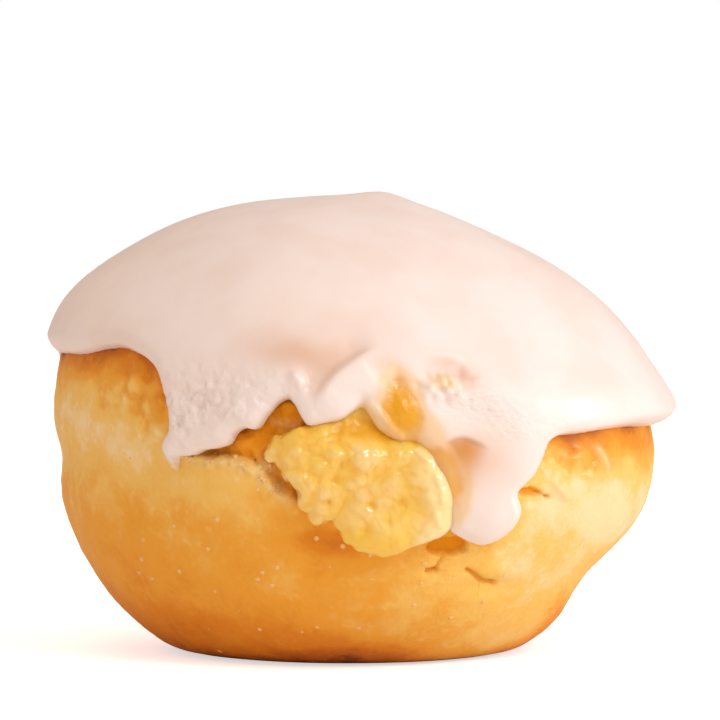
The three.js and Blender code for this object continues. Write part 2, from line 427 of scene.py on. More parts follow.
@dataclass(frozen=True)
class Step:
    """A rounded edge along a line: the surface rises on the line's right as it runs and dips on its left.

    Attributes:
        line: where it runs.
        width: half the width of the rise, in millimetres.
        raised: lift on the right, in millimetres.
        sunk: lift on the left, in millimetres, negative for a dip.
        reach: how far from the line it dies away, in millimetres.
        fade: the share of the line at each end over which it dies away.
    """

    line: Line
    width: float
    raised: float
    sunk: float
    reach: float
    fade: float = 0.25

    def hold(self, reach: Reach) -> Array:
        """How strongly the step shows at places measured against its line."""
        ends = smoothstep(0, self.fade, reach.along) * smoothstep(1, 1 - self.fade, reach.along)
        return ends * bell(reach.distance, self.reach)

    def at(self, angle: Array, height: Array) -> tuple[Array, Array]:
        """Works out the step's form.

        Args:
            angle: radians from the front.
            height: millimetres.

        Returns:
            The lift at places on the side, and a share that is 1 on the sunk side next to the line.
        """
        reach = self.line.reach(angle, height)
        upper = smoothstep(-self.width, self.width, -reach.side * reach.distance)
        hold = self.hold(reach)
        return (self.sunk + (self.raised - self.sunk) * upper) * hold, (1 - upper) * hold


@dataclass(frozen=True)
class BunForm:
    """The bun's surface before its fine relief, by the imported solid's own rule. Sizes are in millimetres."""

    radius: float = SIDE_RADIUS
    waist: float = 21.0
    dome: float = 20.2
    belly: float = 25.3
    base_blend: float = 1.3
    top_slope: float = math.tan(math.radians(6.2))
    slope_span: Pair = (4.0, 30.0)
    top_shift: float = -0.75
    foot_shift: float = -0.8
    foot_top: float = 22.0
    normal_step: float = 0.01
    waves: tuple[tuple[int, float, float], ...] = ((3, 0.3, 0.6), (5, 0.22, 2.1), (8, 0.12, 4.0))
    dents: tuple[Swell, ...] = (
        Swell(-84, 17, 11, 2.2, -0.9),
        Swell(80, 7, 10, 2.8, -1.4),
        Swell(-88, 23, 9, 4, -0.4),
        Swell(30, 7.8, 3.2, 1, -0.6),
        Swell(-24, 15.5, 6, 2.6, 0.5),
        Swell(12, 6.5, 12, 3, 0.5),
        Swell(150, 12, 10, 3, -0.6),
    )

    def height_at(self, polar: Array) -> Array:
        """Height at an angle measured down from the top."""
        cosine = np.cos(polar)
        return self.waist + cosine * np.where(cosine > 0, self.dome, self.belly)

    def polar_at(self, height: Array) -> Array:
        """Angle down from the top at a height."""
        rise = height - self.waist
        return np.arccos(np.clip(rise / np.where(rise > 0, self.dome, self.belly), -1, 1))

    def skin(self, angle: Array, polar: Array) -> Array:
        """Points of the bun's skin.

        Args:
            angle: radians from the front.
            polar: radians down from the top.

        Returns:
            One point a row, in millimetres.
        """
        height, blend = self.height_at(polar), self.base_blend
        level = np.where(height > blend, height, np.clip(height + blend, 0, None) ** 2 / (4 * blend))
        swell = swelled(self.dents, angle, height)
        for count, depth, start in self.waves:
            swell = swell + depth * np.sin(count * angle + start + height / self.radius)
        radius = np.sin(polar) * (self.radius + swell * np.sin(polar))
        x = radius * np.sin(angle)
        foot = np.clip(1 - level / self.foot_top, 0, 1) ** 2
        lean = self.top_slope * smoothstep(*self.slope_span, level)
        across = x + self.top_shift + self.foot_shift * foot
        return np.stack([across, -radius * np.cos(angle), level - lean * x], axis=-1)

    def normal(self, angle: Array, polar: Array) -> Array:
        """Outward directions of the skin.

        Args:
            angle: radians from the front.
            polar: radians down from the top.

        Returns:
            One direction a row, of length 1.
        """
        step = self.normal_step
        safe = np.clip(polar, 2 * step, math.pi - 2 * step)
        turn = np.where(polar == safe, angle, 0.0)
        across = self.skin(turn + step, safe) - self.skin(turn - step, safe)
        up = self.skin(turn, safe - step) - self.skin(turn, safe + step)
        normal = np.cross(across, up)
        return normal / np.linalg.norm(normal, axis=1, keepdims=True)

    def lifted(self, angle: Array, polar: Array, lift: Array) -> Array:
        """Points at a distance out from the skin."""
        return self.skin(angle, polar) + lift[:, None] * self.normal(angle, polar)


FORM = BunForm()


def band_cells(starts: Array, columns: int) -> Array:
    """Four corners of each cell between rows that go round, counterclockwise from outside.

    Args:
        starts: the number of each upper row's first vertex.
        columns: how many vertices a row has.

    Returns:
        One cell a row, as vertex numbers.
    """
    here = np.arange(columns)
    after = (here + 1) % columns
    tops = starts[:, None]
    corners = [tops + here, tops + columns + here, tops + columns + after, tops + after]
    return np.stack(corners, axis=-1).reshape(-1, 4)


def without_doubles(cells: Array) -> list[list[int]]:
    """Faces with each corner once, so that cells at a pole become triangles."""
    return [list(dict.fromkeys(cell)) for cell in cells.tolist()]


@dataclass(frozen=True)
class Rows:
    """A grid round the bun whose columns crowd towards the front.

    Attributes:
        columns: how many columns go round.
        levels: heights in millimetres between which rows are spread, from the top down.
        counts: how many rows lie between each two levels.
        crowd: 0 for even columns, nearly 1 for the most crowded front.
    """

    columns: int
    levels: tuple[float, ...]
    counts: tuple[int, ...]
    crowd: float = 0.55

    @property
    def even(self) -> Array:
        """Angles of the columns before they crowd, in radians from the back round to the back."""
        return np.linspace(-math.pi, math.pi, self.columns, endpoint=False)

    def angles(self) -> Array:
        """Angles of the columns, in radians from the back round to the back."""
        return self.even - self.crowd * np.sin(self.even)

    def spacing(self) -> Array:
        """Millimetres between the columns on the bun's side, for each column."""
        return SIDE_RADIUS * TURN / self.columns * (1 - self.crowd * np.cos(self.even))

    def polars(self) -> Array:
        """Spreads the rows between the levels.

        Returns:
            Their angles down from the top, in radians.
        """
        ends = FORM.polar_at(np.array(self.levels))
        spans = [np.linspace(a, b, n, endpoint=False) for a, b, n in zip(ends, ends[1:], self.counts)]
        return np.append(np.concatenate(spans), ends[-1])

    def grid(self) -> tuple[Array, Array]:
        """Angle and polar angle of each place of the grid, row by row."""
        angle, polar = np.meshgrid(self.angles(), self.polars())
        return angle.ravel(), polar.ravel()

    def cells(self) -> Array:
        """Four corners of each cell, as places of the grid, one cell a row."""
        return band_cells(np.arange(len(self.polars()) - 1) * self.columns, self.columns)


def linked(name: str, data: Any) -> bpy.types.Object:
    """Adds an object to the scene, at the origin.

    Args:
        name: the object's name.
        data: its mesh, light or camera.

    Returns:
        The new object.
    """
    thing = bpy.data.objects.new(name, data)
    bpy.context.scene.collection.objects.link(thing)
    return thing


def mesh_piece(
    name: str, points: Array, faces: list[list[int]], material: bpy.types.Material, marks: Marks
) -> bpy.types.Object:
    """Makes a smooth mesh object at the origin.

    Args:
        name: the piece's name.
        points: vertices in millimetres.
        faces: vertex numbers of each face.
        material: the piece's finish.
        marks: for each attribute's name, one value for each vertex.

    Returns:
        The new object.
    """
    used = sorted({corner for face in faces for corner in face})
    number = dict(zip(used, range(len(used))))
    mesh = bpy.data.meshes.new(name)
    corners = [[number[corner] for corner in face] for face in faces]
    mesh.from_pydata((points[used] * MM).tolist(), [], corners)
    mesh.validate()
    mesh.shade_smooth()
    for mark, values in marks.items():
        mesh.attributes.new(mark, "FLOAT", "POINT").data.foreach_set("value", values[used].astype(np.float32))
    mesh.materials.append(material)
    return linked(name, mesh)


class Paint:
    """A material being put together from nodes, with a principled shader at its end."""

    def __init__(
        self, name: str, marks: tuple[str, ...] = (), patterns: Patterns = (), **uniform: Any
    ) -> None:
        """Starts the material.

        Args:
            name: the material's name.
            marks: the piece's attributes that the material reads.
            patterns: for each pattern its name, the width of its swells in millimetres and its detail.
            **uniform: values that are the same all over, by the shader's socket name with _ for a space.
        """
        self.material = bpy.data.materials.new(name)
        self.material.use_nodes = True
        self.tree = self.material.node_tree
        self.tree.nodes.clear()
        values = {key.replace("_", " "): value for key, value in uniform.items()}
        self.shader = add_node(self.tree, "ShaderNodeBsdfPrincipled", values)
        add_node(self.tree, "ShaderNodeOutputMaterial", {"Surface": self.shader.outputs[0]})
        self.place = add_node(self.tree, "ShaderNodeTexCoord").outputs["Object"]
        self.marks: dict[str, Socket] = {}
        for mark in marks:
            self.marks[mark] = add_node(self.tree, "ShaderNodeAttribute", attribute_name=mark).outputs["Fac"]
        self.grain: dict[str, Socket] = {}
        for label, size, detail in patterns:
            swells = {"Vector": self.place, "Scale": 1 / (size * MM), "Detail": detail}
            self.grain[label] = add_node(self.tree, "ShaderNodeTexNoise", swells).outputs["Fac"]

    def varied(self, level: Any, grain: Socket, share: Any) -> Socket:
        """Makes a level uneven.

        Args:
            level: a fixed value or a socket.
            grain: what it varies with, around a half.
            share: how much of the grain is added to it, fixed or from a socket.

        Returns:
            The uneven level.
        """
        offset = add_node(self.tree, "ShaderNodeMath", {0: grain, 1: 0.5}, operation="SUBTRACT").outputs[0]
        inputs = {0: offset, 1: share, 2: level}
        return add_node(self.tree, "ShaderNodeMath", inputs, operation="MULTIPLY_ADD").outputs[0]

    def tinted(self, colour: Socket, *coats: tuple[str, str]) -> Socket:
        """Lays plain colours over a colour.

        Args:
            colour: what lies under them.
            *coats: for each the mark that shows where it lies, and its sRGB colour.

        Returns:
            The colour with all of them.
        """
        for mark, code in coats:
            inputs = {"Factor": self.marks[mark], "A": colour, "B": linear(code)}
            colour = add_node(self.tree, "ShaderNodeMix", inputs, data_type="RGBA").outputs["Result"]
        return colour

    def feed(self, **sockets: Socket) -> None:
        """Links values that vary to the shader's sockets, named with _ for a space."""
        for key, socket in sockets.items():
            self.tree.links.new(socket, self.shader.inputs[key.replace("_", " ")])

    def follow(
        self,
        target: str,
        level: Socket,
        ends: Pair,
        span: Pair = (0.0, 1.0),
        stir: tuple[str, float] | None = None,
    ) -> None:
        """Lets one of the shader's values follow a level.

        Args:
            target: the shader's socket, named with _ for a space.
            level: what it follows.
            ends: its values at both ends of the span.
            span: the levels between which it changes.
            stir: a pattern that makes it uneven, and by what share.
        """
        (start, end), (low, high) = span, ends
        inputs = {"Value": level, "From Min": start, "From Max": end, "To Min": low, "To Max": high}
        value = add_node(self.tree, "ShaderNodeMapRange", inputs).outputs["Result"]
        if stir:
            value = self.varied(value, self.grain[stir[0]], stir[1])
        self.feed(**{target: value})

    def relief(self, *layers: tuple[Socket, float]) -> None:
        """Adds fine relief to the shading.

        Args:
            *layers: for each layer its level between 0 and 1 and its height in millimetres.
        """
        normal = None
        for level, height in layers:
            inputs = {"Height": level, "Distance": height * MM, "Strength": 1.0}
            if normal:
                inputs["Normal"] = normal
            normal = add_node(self.tree, "ShaderNodeBump", inputs).outputs["Normal"]
        self.feed(Normal=normal, Coat_Normal=normal)


@dataclass(frozen=True)
class FriedDough:
    """Yeast dough fried in fat: a thin satin crust, pale where it floated clear and brown at its base."""

    name: str = "fried_yeast_dough"
    bake_stops: Stops = (
        (0.0, "FEE4AC"),
        (0.22, "FACD6B"),
        (0.45, "F4AF3A"),
        (0.68, "E89321"),
        (0.86, "CE7518"),
        (1.0, "964D0F"),
    )
    # torn crumb on the lip, also laid on the wet ridges, drops and the notch's wisp as painted highlight
    crumb: str = "FADB98"
    # painted shade: the amber laid in the recesses of the mouth, the pits and the grooves
    hollow: str = "EA9800"
    patterns: Patterns = (
        ("mottle", 2.4, 3.0),
        ("fine", 0.5, 2.0),
        ("fleck", 0.75, 0.0),
        ("skin", 0.5, 3.0),
        ("pore", 0.16, 2.0),
    )
    mottled: float = 0.22
    grained: float = 0.1
    flecked: float = -0.14
    fleck_span: Pair = (0.6, 0.82)
    glaze: float = 0.65
    dry_and_wet: Pair = (0.5, 0.3)
    uneven: float = 0.2
    skin_relief: float = 0.08
    pore_relief: float = 0.04

    def material(self) -> bpy.types.Material:
        """Makes the finish.

        Returns:
            A material that reads the bun's marks bake, torn, wet and deep.
        """
        # The crust is baked starch and fat: it scatters light a little under its skin, shines softly, and
        # turns glossy where frying fat and thin sugar glaze wet it. Torn crumb inside is paler and dull.
        paint = Paint(
            self.name, ("bake", "torn_and_glints", "wet", "recess_shade"), self.patterns, IOR=1.45, Specular_IOR_Level=0.2,
            Subsurface_Weight=0.12, Subsurface_Scale=1.0 * MM, Subsurface_Radius=(1.0, 0.45, 0.15),
            Coat_Roughness=0.07,
        )
        grain, (low, high) = paint.grain, self.fleck_span
        bake = paint.varied(paint.marks["bake"], grain["mottle"], self.mottled)
        bake = paint.varied(bake, grain["fine"], self.grained)
        inputs = {"Value": grain["fleck"], "From Min": low, "From Max": high, "To Min": 0.5, "To Max": 1.0}
        flecks = add_node(paint.tree, "ShaderNodeMapRange", inputs).outputs["Result"]
        bake = paint.varied(bake, flecks, self.flecked)
        colour = add_node(paint.tree, "ShaderNodeValToRGB", {"Fac": bake}, self.bake_stops).outputs["Color"]
        # Painted shade: the hollow's amber is laid in the recesses.
        paint.feed(Base_Color=paint.tinted(colour, ("recess_shade", self.hollow), ("torn_and_glints", self.crumb)))
        paint.follow("Coat_Weight", paint.marks["wet"], (0.0, self.glaze))
        paint.follow("Roughness", paint.marks["wet"], self.dry_and_wet, stir=("fine", self.uneven))
        paint.relief((grain["skin"], self.skin_relief), (grain["pore"], self.pore_relief))
        return paint.material


@dataclass(frozen=True)
class TornCrumb:
    """Torn dough crumb: pale, dry and open, so it looks dull and lightly grained."""

    name: str = "torn_dough_crumb"
    pale: str = "FBDD9A"
    dark: str = "F0C274"
    levels: Pair = (0.35, 0.6)
    patterns: Patterns = (("crumb", 0.4, 2.0), ("pore", 0.2, 2.0))
    pore_relief: float = 0.03

    def material(self) -> bpy.types.Material:
        """Makes the finish.

        Returns:
            A material that is the same on every bit.
        """
        # Open crumb has no crust, so it is pale and has hardly any shine.
        paint = Paint(self.name, (), self.patterns, IOR=1.4, Roughness=0.7, Specular_IOR_Level=0.3)
        stops = tuple(zip(self.levels, (self.dark, self.pale)))
        colour = add_node(paint.tree, "ShaderNodeValToRGB", {"Fac": paint.grain["crumb"]}, stops)
        paint.feed(Base_Color=colour.outputs["Color"])
        paint.relief((paint.grain["pore"], self.pore_relief))
        return paint.material


@dataclass(frozen=True)
class SugarIcing:
    """Poured icing of sugar and water that has set: milky white, satin, and amber where it is thin."""

    name: str = "set_sugar_icing"
    body_stops: Stops = ((0.3, "F5E7DE"), (0.65, "F8EFE9"))
    film_stops: Stops = ((0.0, "F8EFE9"), (0.3, "F6DAB0"), (0.6, "EDB860"), (0.8, "EEB136"), (1.0, "EEAC00"))
    film_shows: float = 0.2
    # mostly painted shade, warm; on the drip also the crust seen through the thin icing
    tan: str = "D8974E"
    patterns: Patterns = (
        ("cloud", 7.0, 3.0),
        ("satin", 1.5, 3.0),
        ("flake", 0.5, 3.0),
        ("skin", 0.9, 2.0),
        ("crystal", 0.22, 2.0),
    )
    needle: float = 0.3
    needle_detail: float = 3.0
    needle_slope: float = 40.0
    needle_stretch: float = 5.0
    gloss: Pair = (0.12, 0.75)
    satin_and_frost: Pair = (0.4, 0.5)
    uneven: float = 0.16
    skin_relief: float = 0.015
    crystal_relief: float = 0.012
    needle_relief: float = 0.2
    flake_relief: float = 0.14

    def material(self) -> bpy.types.Material:
        """Makes the finish.

        Returns:
            A material that reads the icing's marks film, tan, shine and frost.
        """
        # Fine sugar crystals in syrup scatter light under a smooth skin, which gives a soft white with a
        # satin shine. A thin film lets the custard's yellow through and is glossier than the rest. The tan is
        # mostly painted shade, warm, in the valleys, folds and crater; on the drip it is also the crust seen
        # through the thin icing. The needles and flakes of sugar are drawn coarser than real ones, so that
        # they show.
        paint = Paint(
            self.name, ("film", "tan", "shine", "frost"), self.patterns, IOR=1.48, Coat_Roughness=0.07,
            Subsurface_Weight=0.22, Subsurface_Scale=1.0 * MM, Subsurface_Radius=(1.0, 0.8, 0.68),
        )
        tree, marks, grain = paint.tree, paint.marks, paint.grain
        body = add_node(tree, "ShaderNodeValToRGB", {"Fac": grain["cloud"]}, self.body_stops).outputs["Color"]
        tint = add_node(tree, "ShaderNodeValToRGB", {"Fac": marks["film"]}, self.film_stops).outputs["Color"]
        shows = {"Value": marks["film"], "From Max": self.film_shows}
        share = add_node(tree, "ShaderNodeMapRange", shows).outputs["Result"]
        mixed = add_node(tree, "ShaderNodeMix", {"Factor": share, "A": body, "B": tint}, data_type="RGBA")
        paint.feed(Base_Color=paint.tinted(mixed.outputs["Result"], ("tan", self.tan)))
        paint.follow("Coat_Weight", marks["shine"], self.gloss)
        paint.follow("Roughness", marks["frost"], self.satin_and_frost, stir=("satin", self.uneven))
        turn = (0, math.radians(self.needle_slope), 0)
        inputs = {"Vector": paint.place, "Rotation": turn, "Scale": (1 / self.needle_stretch, 1, 1)}
        drawn = add_node(tree, "ShaderNodeMapping", inputs).outputs["Vector"]
        inputs = {"Vector": drawn, "Scale": 1 / (self.needle * MM), "Detail": self.needle_detail}
        needles = add_node(tree, "ShaderNodeTexNoise", inputs).outputs["Fac"]
        paint.relief(
            (grain["skin"], self.skin_relief),
            (grain["crystal"], self.crystal_relief),
            (paint.varied(0.5, needles, marks["frost"]), self.needle_relief),
            (paint.varied(0.5, grain["flake"], marks["shine"]), self.flake_relief),
        )
        return paint.material


@dataclass(frozen=True)
class EggCustard:
    """Cooked egg custard: lumpy, wet and full of fat, so yellow light glows through its thin edges."""

    name: str = "cooked_egg_custard"
    # from cream on the lumps to amber in the gaps between them, where the amber is painted shade
    stops: Stops = ((0.1, "FDDB92"), (0.5, "FBCE5A"), (0.95, "F7BD2C"))
    # yolk yellow, partly painted light where the lobe is lit through
    yolk_glow: str = "FFD24C"
    # painted light: the pale of the thin rim on the lit side
    gel_glow: str = "FFE8A8"
    patterns: Patterns = (("curd", 1.6, 3.0), ("gloss", 1.0, 2.0), ("skin", 0.7, 2.0), ("pore", 0.28, 2.0))
    curdled: float = 0.4
    roughness: Pair = (0.24, 0.42)
    wet: Pair = (0.9, 0.1)
    wet_span: Pair = (0.3, 0.7)
    skin_relief: float = 0.04
    pore_relief: float = 0.025

    def material(self) -> bpy.types.Material:
        """Makes the finish.

        Returns:
            A material that reads the custard's marks pit, yolk and gel.
        """
        # Set egg and milk scatter light far under a wet surface: creamy on the lumps, and a saturated amber
        # painted in the gaps and pits as painted shade. The thin rim is painted pale as gel where it is lit
        # through, which is painted light.
        paint = Paint(
            self.name, ("pit", "yolk_glow", "gel_glow"), self.patterns, IOR=1.42, Coat_Roughness=0.05,
            Subsurface_Weight=0.6, Subsurface_Scale=1.5 * MM, Subsurface_Radius=(1.0, 0.65, 0.2),
        )
        grain, pit = paint.grain, paint.marks["pit"]
        level = paint.varied(pit, grain["curd"], self.curdled)
        colour = add_node(paint.tree, "ShaderNodeValToRGB", {"Fac": level}, self.stops).outputs["Color"]
        paint.feed(Base_Color=paint.tinted(colour, ("yolk_glow", self.yolk_glow), ("gel_glow", self.gel_glow)))
        paint.follow("Roughness", grain["gloss"], self.roughness)
        paint.follow("Coat_Weight", pit, self.wet, self.wet_span)
        paint.relief((grain["skin"], self.skin_relief), (grain["pore"], self.pore_relief))
        return paint.material


@dataclass(frozen=True)
class Crest:
    """A rise on the top of the icing.

    Attributes:
        angle: the way it lies, in degrees from the front.
        polar: how far down from the top, in degrees.
        spread: how wide it is, in degrees.
        lift: how far it stands out, in millimetres.
    """

    angle: float
    polar: float
    spread: float
    lift: float

    def at(self, angle: Array, polar: Array) -> Array:
        """Works out the rise.

        Args:
            angle: radians from the front.
            polar: radians down from the top.

        Returns:
            The lift at each place, in millimetres.
        """
        way, down = math.radians(self.angle), math.radians(self.polar)
        across = polar * np.sin(angle) - down * math.sin(way)
        along = polar * np.cos(angle) - down * math.cos(way)
        return self.lift * np.exp(-(across**2 + along**2) / math.radians(self.spread) ** 2)


@dataclass
class Icing:
    """The poured icing: a closed skin on the bun with a rounded lip, drips, a ripped film and a raised fold.
    """

    slot: str = "icing"
    seed: int = 11
    rows: Rows = Rows(columns=560, levels=(41.2, 30.0, 11.8), counts=(34, 96), crowd=0.5)
    coarse: Pair = (0.25, 0.45)  # column spacings between which the lip's profile turns from round to soft
    thin: float = 1.6
    thick: float = 2.3
    thicken: Pair = (0.2, 0.9)  # shares of the radius, to the right, over which thin turns to thick
    lip: float = 1.3
    blunt: Swell = Swell(52, 23.8, 20, 5, 0.42)  # where the lip is narrower, and by what share
    overhang: float = 0.22
    skirt: float = 0.18  # how far under the dough's skin the lip ends
    underside: float = -0.25  # the underside's level, from the dough's skin
    edge_top: float = 33.0  # no edge lies above this height
    well_inside: float = 10.0  # the distance from the edge that is taken up there
    least_move: float = 1e-4  # shorter moves along the skin are left out
    thinnest: float = 0.3
    film_lip: float = 0.6  # the share of the lip's width that a clear film loses
    bulge: Pair = (0.3, 0.35)  # half width and place of the lip's overhang
    skin: tuple[Ripples, ...] = (Ripples(9.0, 0.07), Ripples(2.8, 0.02))
    crests: tuple[Crest, ...] = (Crest(80, 8, 14, 0.7), Crest(90, 4.4, 4.5, 0.5))
    edge: Line = Line(
        (
            (-174, 16.8), (-169, 16.2), (-164, 17.4), (-158, 21.6), (-142, 24.4), (-128, 22.8),
            (-120, 19.6), (-116, 19.2), (-112, 20.4), (-106.5, 23.6), (-98, 25.2), (-88, 25.5), (-76, 25.7),
            (-64, 26.0), (-55, 26.8), (-50.6, 27.0), (-45.6, 26.7), (-41.4, 26.2), (-38.2, 25.4),
            (-35.8, 23.8), (-34.3, 22.2), (-34.0, 20.9), (-35.1, 20.0), (-35.5, 19.3), (-34.7, 18.6),
            (-34.0, 17.5), (-33.6, 17.5), (-33.1, 18.5), (-31.4, 18.8), (-29.4, 18.9), (-27.2, 19.4),
            (-24.4, 19.7), (-22.2, 20.1), (-20.8, 21.1), (-19.0, 21.6), (-17.0, 21.6), (-15.2, 22.8),
            (-13.2, 24.0), (-11.6, 24.4), (-10.4, 23.9), (-9.0, 22.8), (-8.0, 22.3), (-4.6, 22.7),
            (-2.2, 23.1), (0.2, 24.0), (1.4, 24.3), (2.4, 23.8), (4.4, 22.4), (7.8, 21.5), (10.4, 21.5),
            (12.4, 20.5), (14.6, 19.0), (16.2, 16.6), (16.8, 15.2), (17.4, 13.9), (19.0, 13.3),
            (23.6, 12.5), (26.2, 12.8), (28.4, 13.6), (29.8, 14.7), (30.3, 16.0), (29.4, 17.4),
            (30.8, 18.2), (32.4, 19.1), (34.0, 20.7), (35.4, 22.2), (38.0, 22.9), (44.0, 23.3),
            (51.2, 23.8), (60, 24.2), (70, 24.2), (84, 24.2), (100, 24.5), (109, 23.4), (115, 20.4),
            (119, 18.2), (123, 17.8), (127, 18.8), (134, 22.6), (156, 24.3), (174, 22.4), (181, 19.4),
        ),
        Run.ROUND_THE_BUN,
    )
    swells: tuple[Swell, ...] = (
        Swell(25, 15.2, 2.6, 2.0, 0.7),
        Swell(28.6, 16.0, 0.9, 1.2, 0.3),
        Swell(-35, 19.8, 1.6, 1.8, 0.3),
        Swell(70, 26.2, 22, 2.4, 0.5),
        Swell(86, 25.4, 9, 1.4, 0.15),
        Swell(-80, 34.5, 14, 4, -0.35),
        Swell(-80, 30.5, 16, 4, 0.35),
        Swell(-170, 18.6, 2.8, 2.6, 0.6),
        Swell(-116, 21.4, 2.4, 2.4, 0.4),
        Swell(122, 20.2, 2.6, 2.6, 0.6),
        Swell(-10.3, 25.8, 0.5, 0.4, 0.5),
        Swell(-9.4, 25.5, 0.3, 0.5, 0.35),
        Swell(-18.4, 22.6, 1.4, 1.0, 0.25),
        Swell(8.4, 24.2, 1.0, 1.3, 0.3),
        Swell(18.8, 27.3, 1.6, 1.1, -0.4),
        Swell(15.6, 28.1, 1.6, 0.7, -0.3),
        Swell(15.5, 26.9, 1.1, 0.55, 0.62),
        Swell(17.3, 25.9, 0.9, 0.7, 0.6),
        Swell(13.2, 25.9, 0.7, 0.6, 0.45),
        Swell(17.6, 17.6, 0.9, 2.0, -0.3),
    )
    ridge: Groove = Groove(Line(((-21.4, 23.0), (-17.4, 24.2), (-13.4, 25.5), (-10.6, 26.0))), 0.55, 0.28)
    lumpy: Swell = Swell(15.8, 26.3, 1.9, 1.2)
    crystals: Lumps = Lumps(0.8, 1.15, 0.05, 0.2, 70)
    window: Line = Line(
        (
            (4.0, 24.9), (5.6, 26.4), (7.4, 27.0), (9.4, 26.3), (10.8, 24.6), (10.8, 22.9), (9.4, 21.9),
            (7.0, 22.0), (5.0, 22.9),
        ),
        Run.CLOSED,
    )
    window_lift: float = -0.35
    window_rim: Pair = (-1.2, 1.3)
    window_rags: Ripples = Ripples(1.2, 0.25)
    window_grain: Ripples = Ripples(0.45, 0.03, 2, shift=90)
    window_film: float = 0.42
    veil: Groove = Groove(
        Line(((1.6, 24.2), (3.0, 23.2), (4.6, 22.3), (7.8, 21.6), (10.4, 21.5), (12.2, 20.6))), 0.8, -0.6
    )
    veil_film: float = 0.32
    bead: Groove = Groove(Line(((2.4, 24.5), (4.2, 23.6), (6.0, 22.6), (7.8, 22.0))), 0.28, 0.35)
    steps: tuple[Step, ...] = (
        Step(
            Line(((-8.0, 23.5), (-6.4, 24.7), (-4.2, 26.3), (-1.4, 27.5), (1.2, 28.4), (4.6, 29.1))),
            width=0.4, raised=0.4, sunk=-0.4, reach=1.9, fade=0.3,
        ),
        Step(
            Line(((23.4, 21.3), (20.8, 21.9), (18.4, 22.2), (16.4, 22.0), (14.2, 21.3))),
            width=0.2, raised=0.1, sunk=-0.22, reach=1.8,
        ),
    )
    # painted shade on the sunk side of each step
    step_shades: tuple[float, ...] = (0.2, 0.5)
    films: tuple[Swell, ...] = (
        Swell(8.0, 24.2, 1.5, 1.7, 0.75),
        Swell(6.6, 27.2, 2.2, 1.2, 0.18),
        Swell(12.2, 22.6, 1.8, 1.4, 0.3),
        Swell(15.4, 20.4, 1.6, 1.2, 0.55),
        Swell(17.0, 18.0, 1.5, 1.6, 0.62),
        Swell(17.6, 15.4, 1.2, 1.4, 0.28),
        Swell(15.4, 26.6, 1.5, 0.9, 0.3),
        Swell(-33.8, 17.8, 0.4, 0.6, 0.4),
    )
    film_mottle: Ripples = Ripples(1.4, 0.2, 2, level=1.0)
    film_shine: float = 0.4
    shiny_film: Pair = (0.2, 0.8)
    # Mostly painted shade: the valley and shadow left of the flap, the crater, the fibres and the drip's tuck;
    # on the drip it also stands for the crust seen through the thin icing.
    crust_tints_and_shades: tuple[Swell, ...] = (
        Swell(18.2, 20.9, 1.8, 1.2, 0.2),
        Swell(17.4, 19.8, 1.6, 1.5, 0.3),
        Swell(20.6, 20.4, 1.8, 1.6, 0.2),
        Swell(22.5, 19.5, 3.5, 3.5, 0.18),
        Swell(24.5, 22.2, 3.0, 1.8, 0.12),
        Swell(5.2, 27.3, 2.0, 1.2, 0.2),
        Swell(19.6, 27.3, 1.2, 1.0, 0.4),
        Swell(23, 25, 3.4, 2.0, 0.07),
        Swell(16.0, 28.3, 1.7, 0.7, 0.32),
        Swell(-7.4, 25.2, 1.0, 1.0, 0.1),
        Swell(-5.6, 26.8, 1.6, 1.2, 0.15),
        Swell(-2.0, 28.4, 2.0, 1.0, 0.15),
        Swell(-12.0, 30.0, 5.0, 3.0, 0.14),
        Swell(-10.8, 27.7, 3.4, 1.3, 0.36),
    )
    tint_and_shade_mottle: Ripples = Ripples(2.0, 0.2, level=1.0)
    crumples: tuple[Swell, ...] = (
        Swell(-24, 23.6, 6.0, 2.3), Swell(-31, 21.2, 1.8, 2.0, 0.6), Swell(-14, 24.4, 1.6, 1.0, 0.7)
    )
    crumpling: tuple[Lumps | Creases, ...] = (Lumps(1.4, 0.5, 0.03), Creases(0.85, 0.36, 2, level=0.18))
    fibres: tuple[Swell, ...] = (Swell(21.5, 25.2, 2.4, 1.4), Swell(26.5, 23.8, 2.6, 1.5, 0.9))
    fibre: Creases = Creases(0.45, 0.3, 2, level=0.09)
    fibre_slope: float = -32.0
    fibre_stretch: Pair = (0.4, 1.4)
    finish: SugarIcing = SugarIcing()

    @property
    def fibre_run(self) -> Array:
        """The way the fibres run.

        Returns:
            A matrix that turns and stretches places in space, so that noise read there follows the fibres.
        """
        slope, (along, across) = math.radians(self.fibre_slope), self.fibre_stretch
        return np.array([
            [along * math.cos(slope), 0, -across * math.sin(slope)],
            [0, 1, 0],
            [along * math.sin(slope), 0, across * math.cos(slope)],
        ])

    def body(self, angle: Array, polar: Array) -> Array:
        """Thickness of the icing away from its edge.

        Args:
            angle: radians from the front.
            polar: radians down from the top.

        Returns:
            Millimetres at each place.
        """
        height = FORM.height_at(polar)
        share = smoothstep(*self.thicken, np.sin(angle) * np.sin(polar))
        thickness = self.thin + (self.thick - self.thin) * share
        thickness += sum(crest.at(angle, polar) for crest in self.crests)
        return thickness + swelled(self.swells, angle, height)

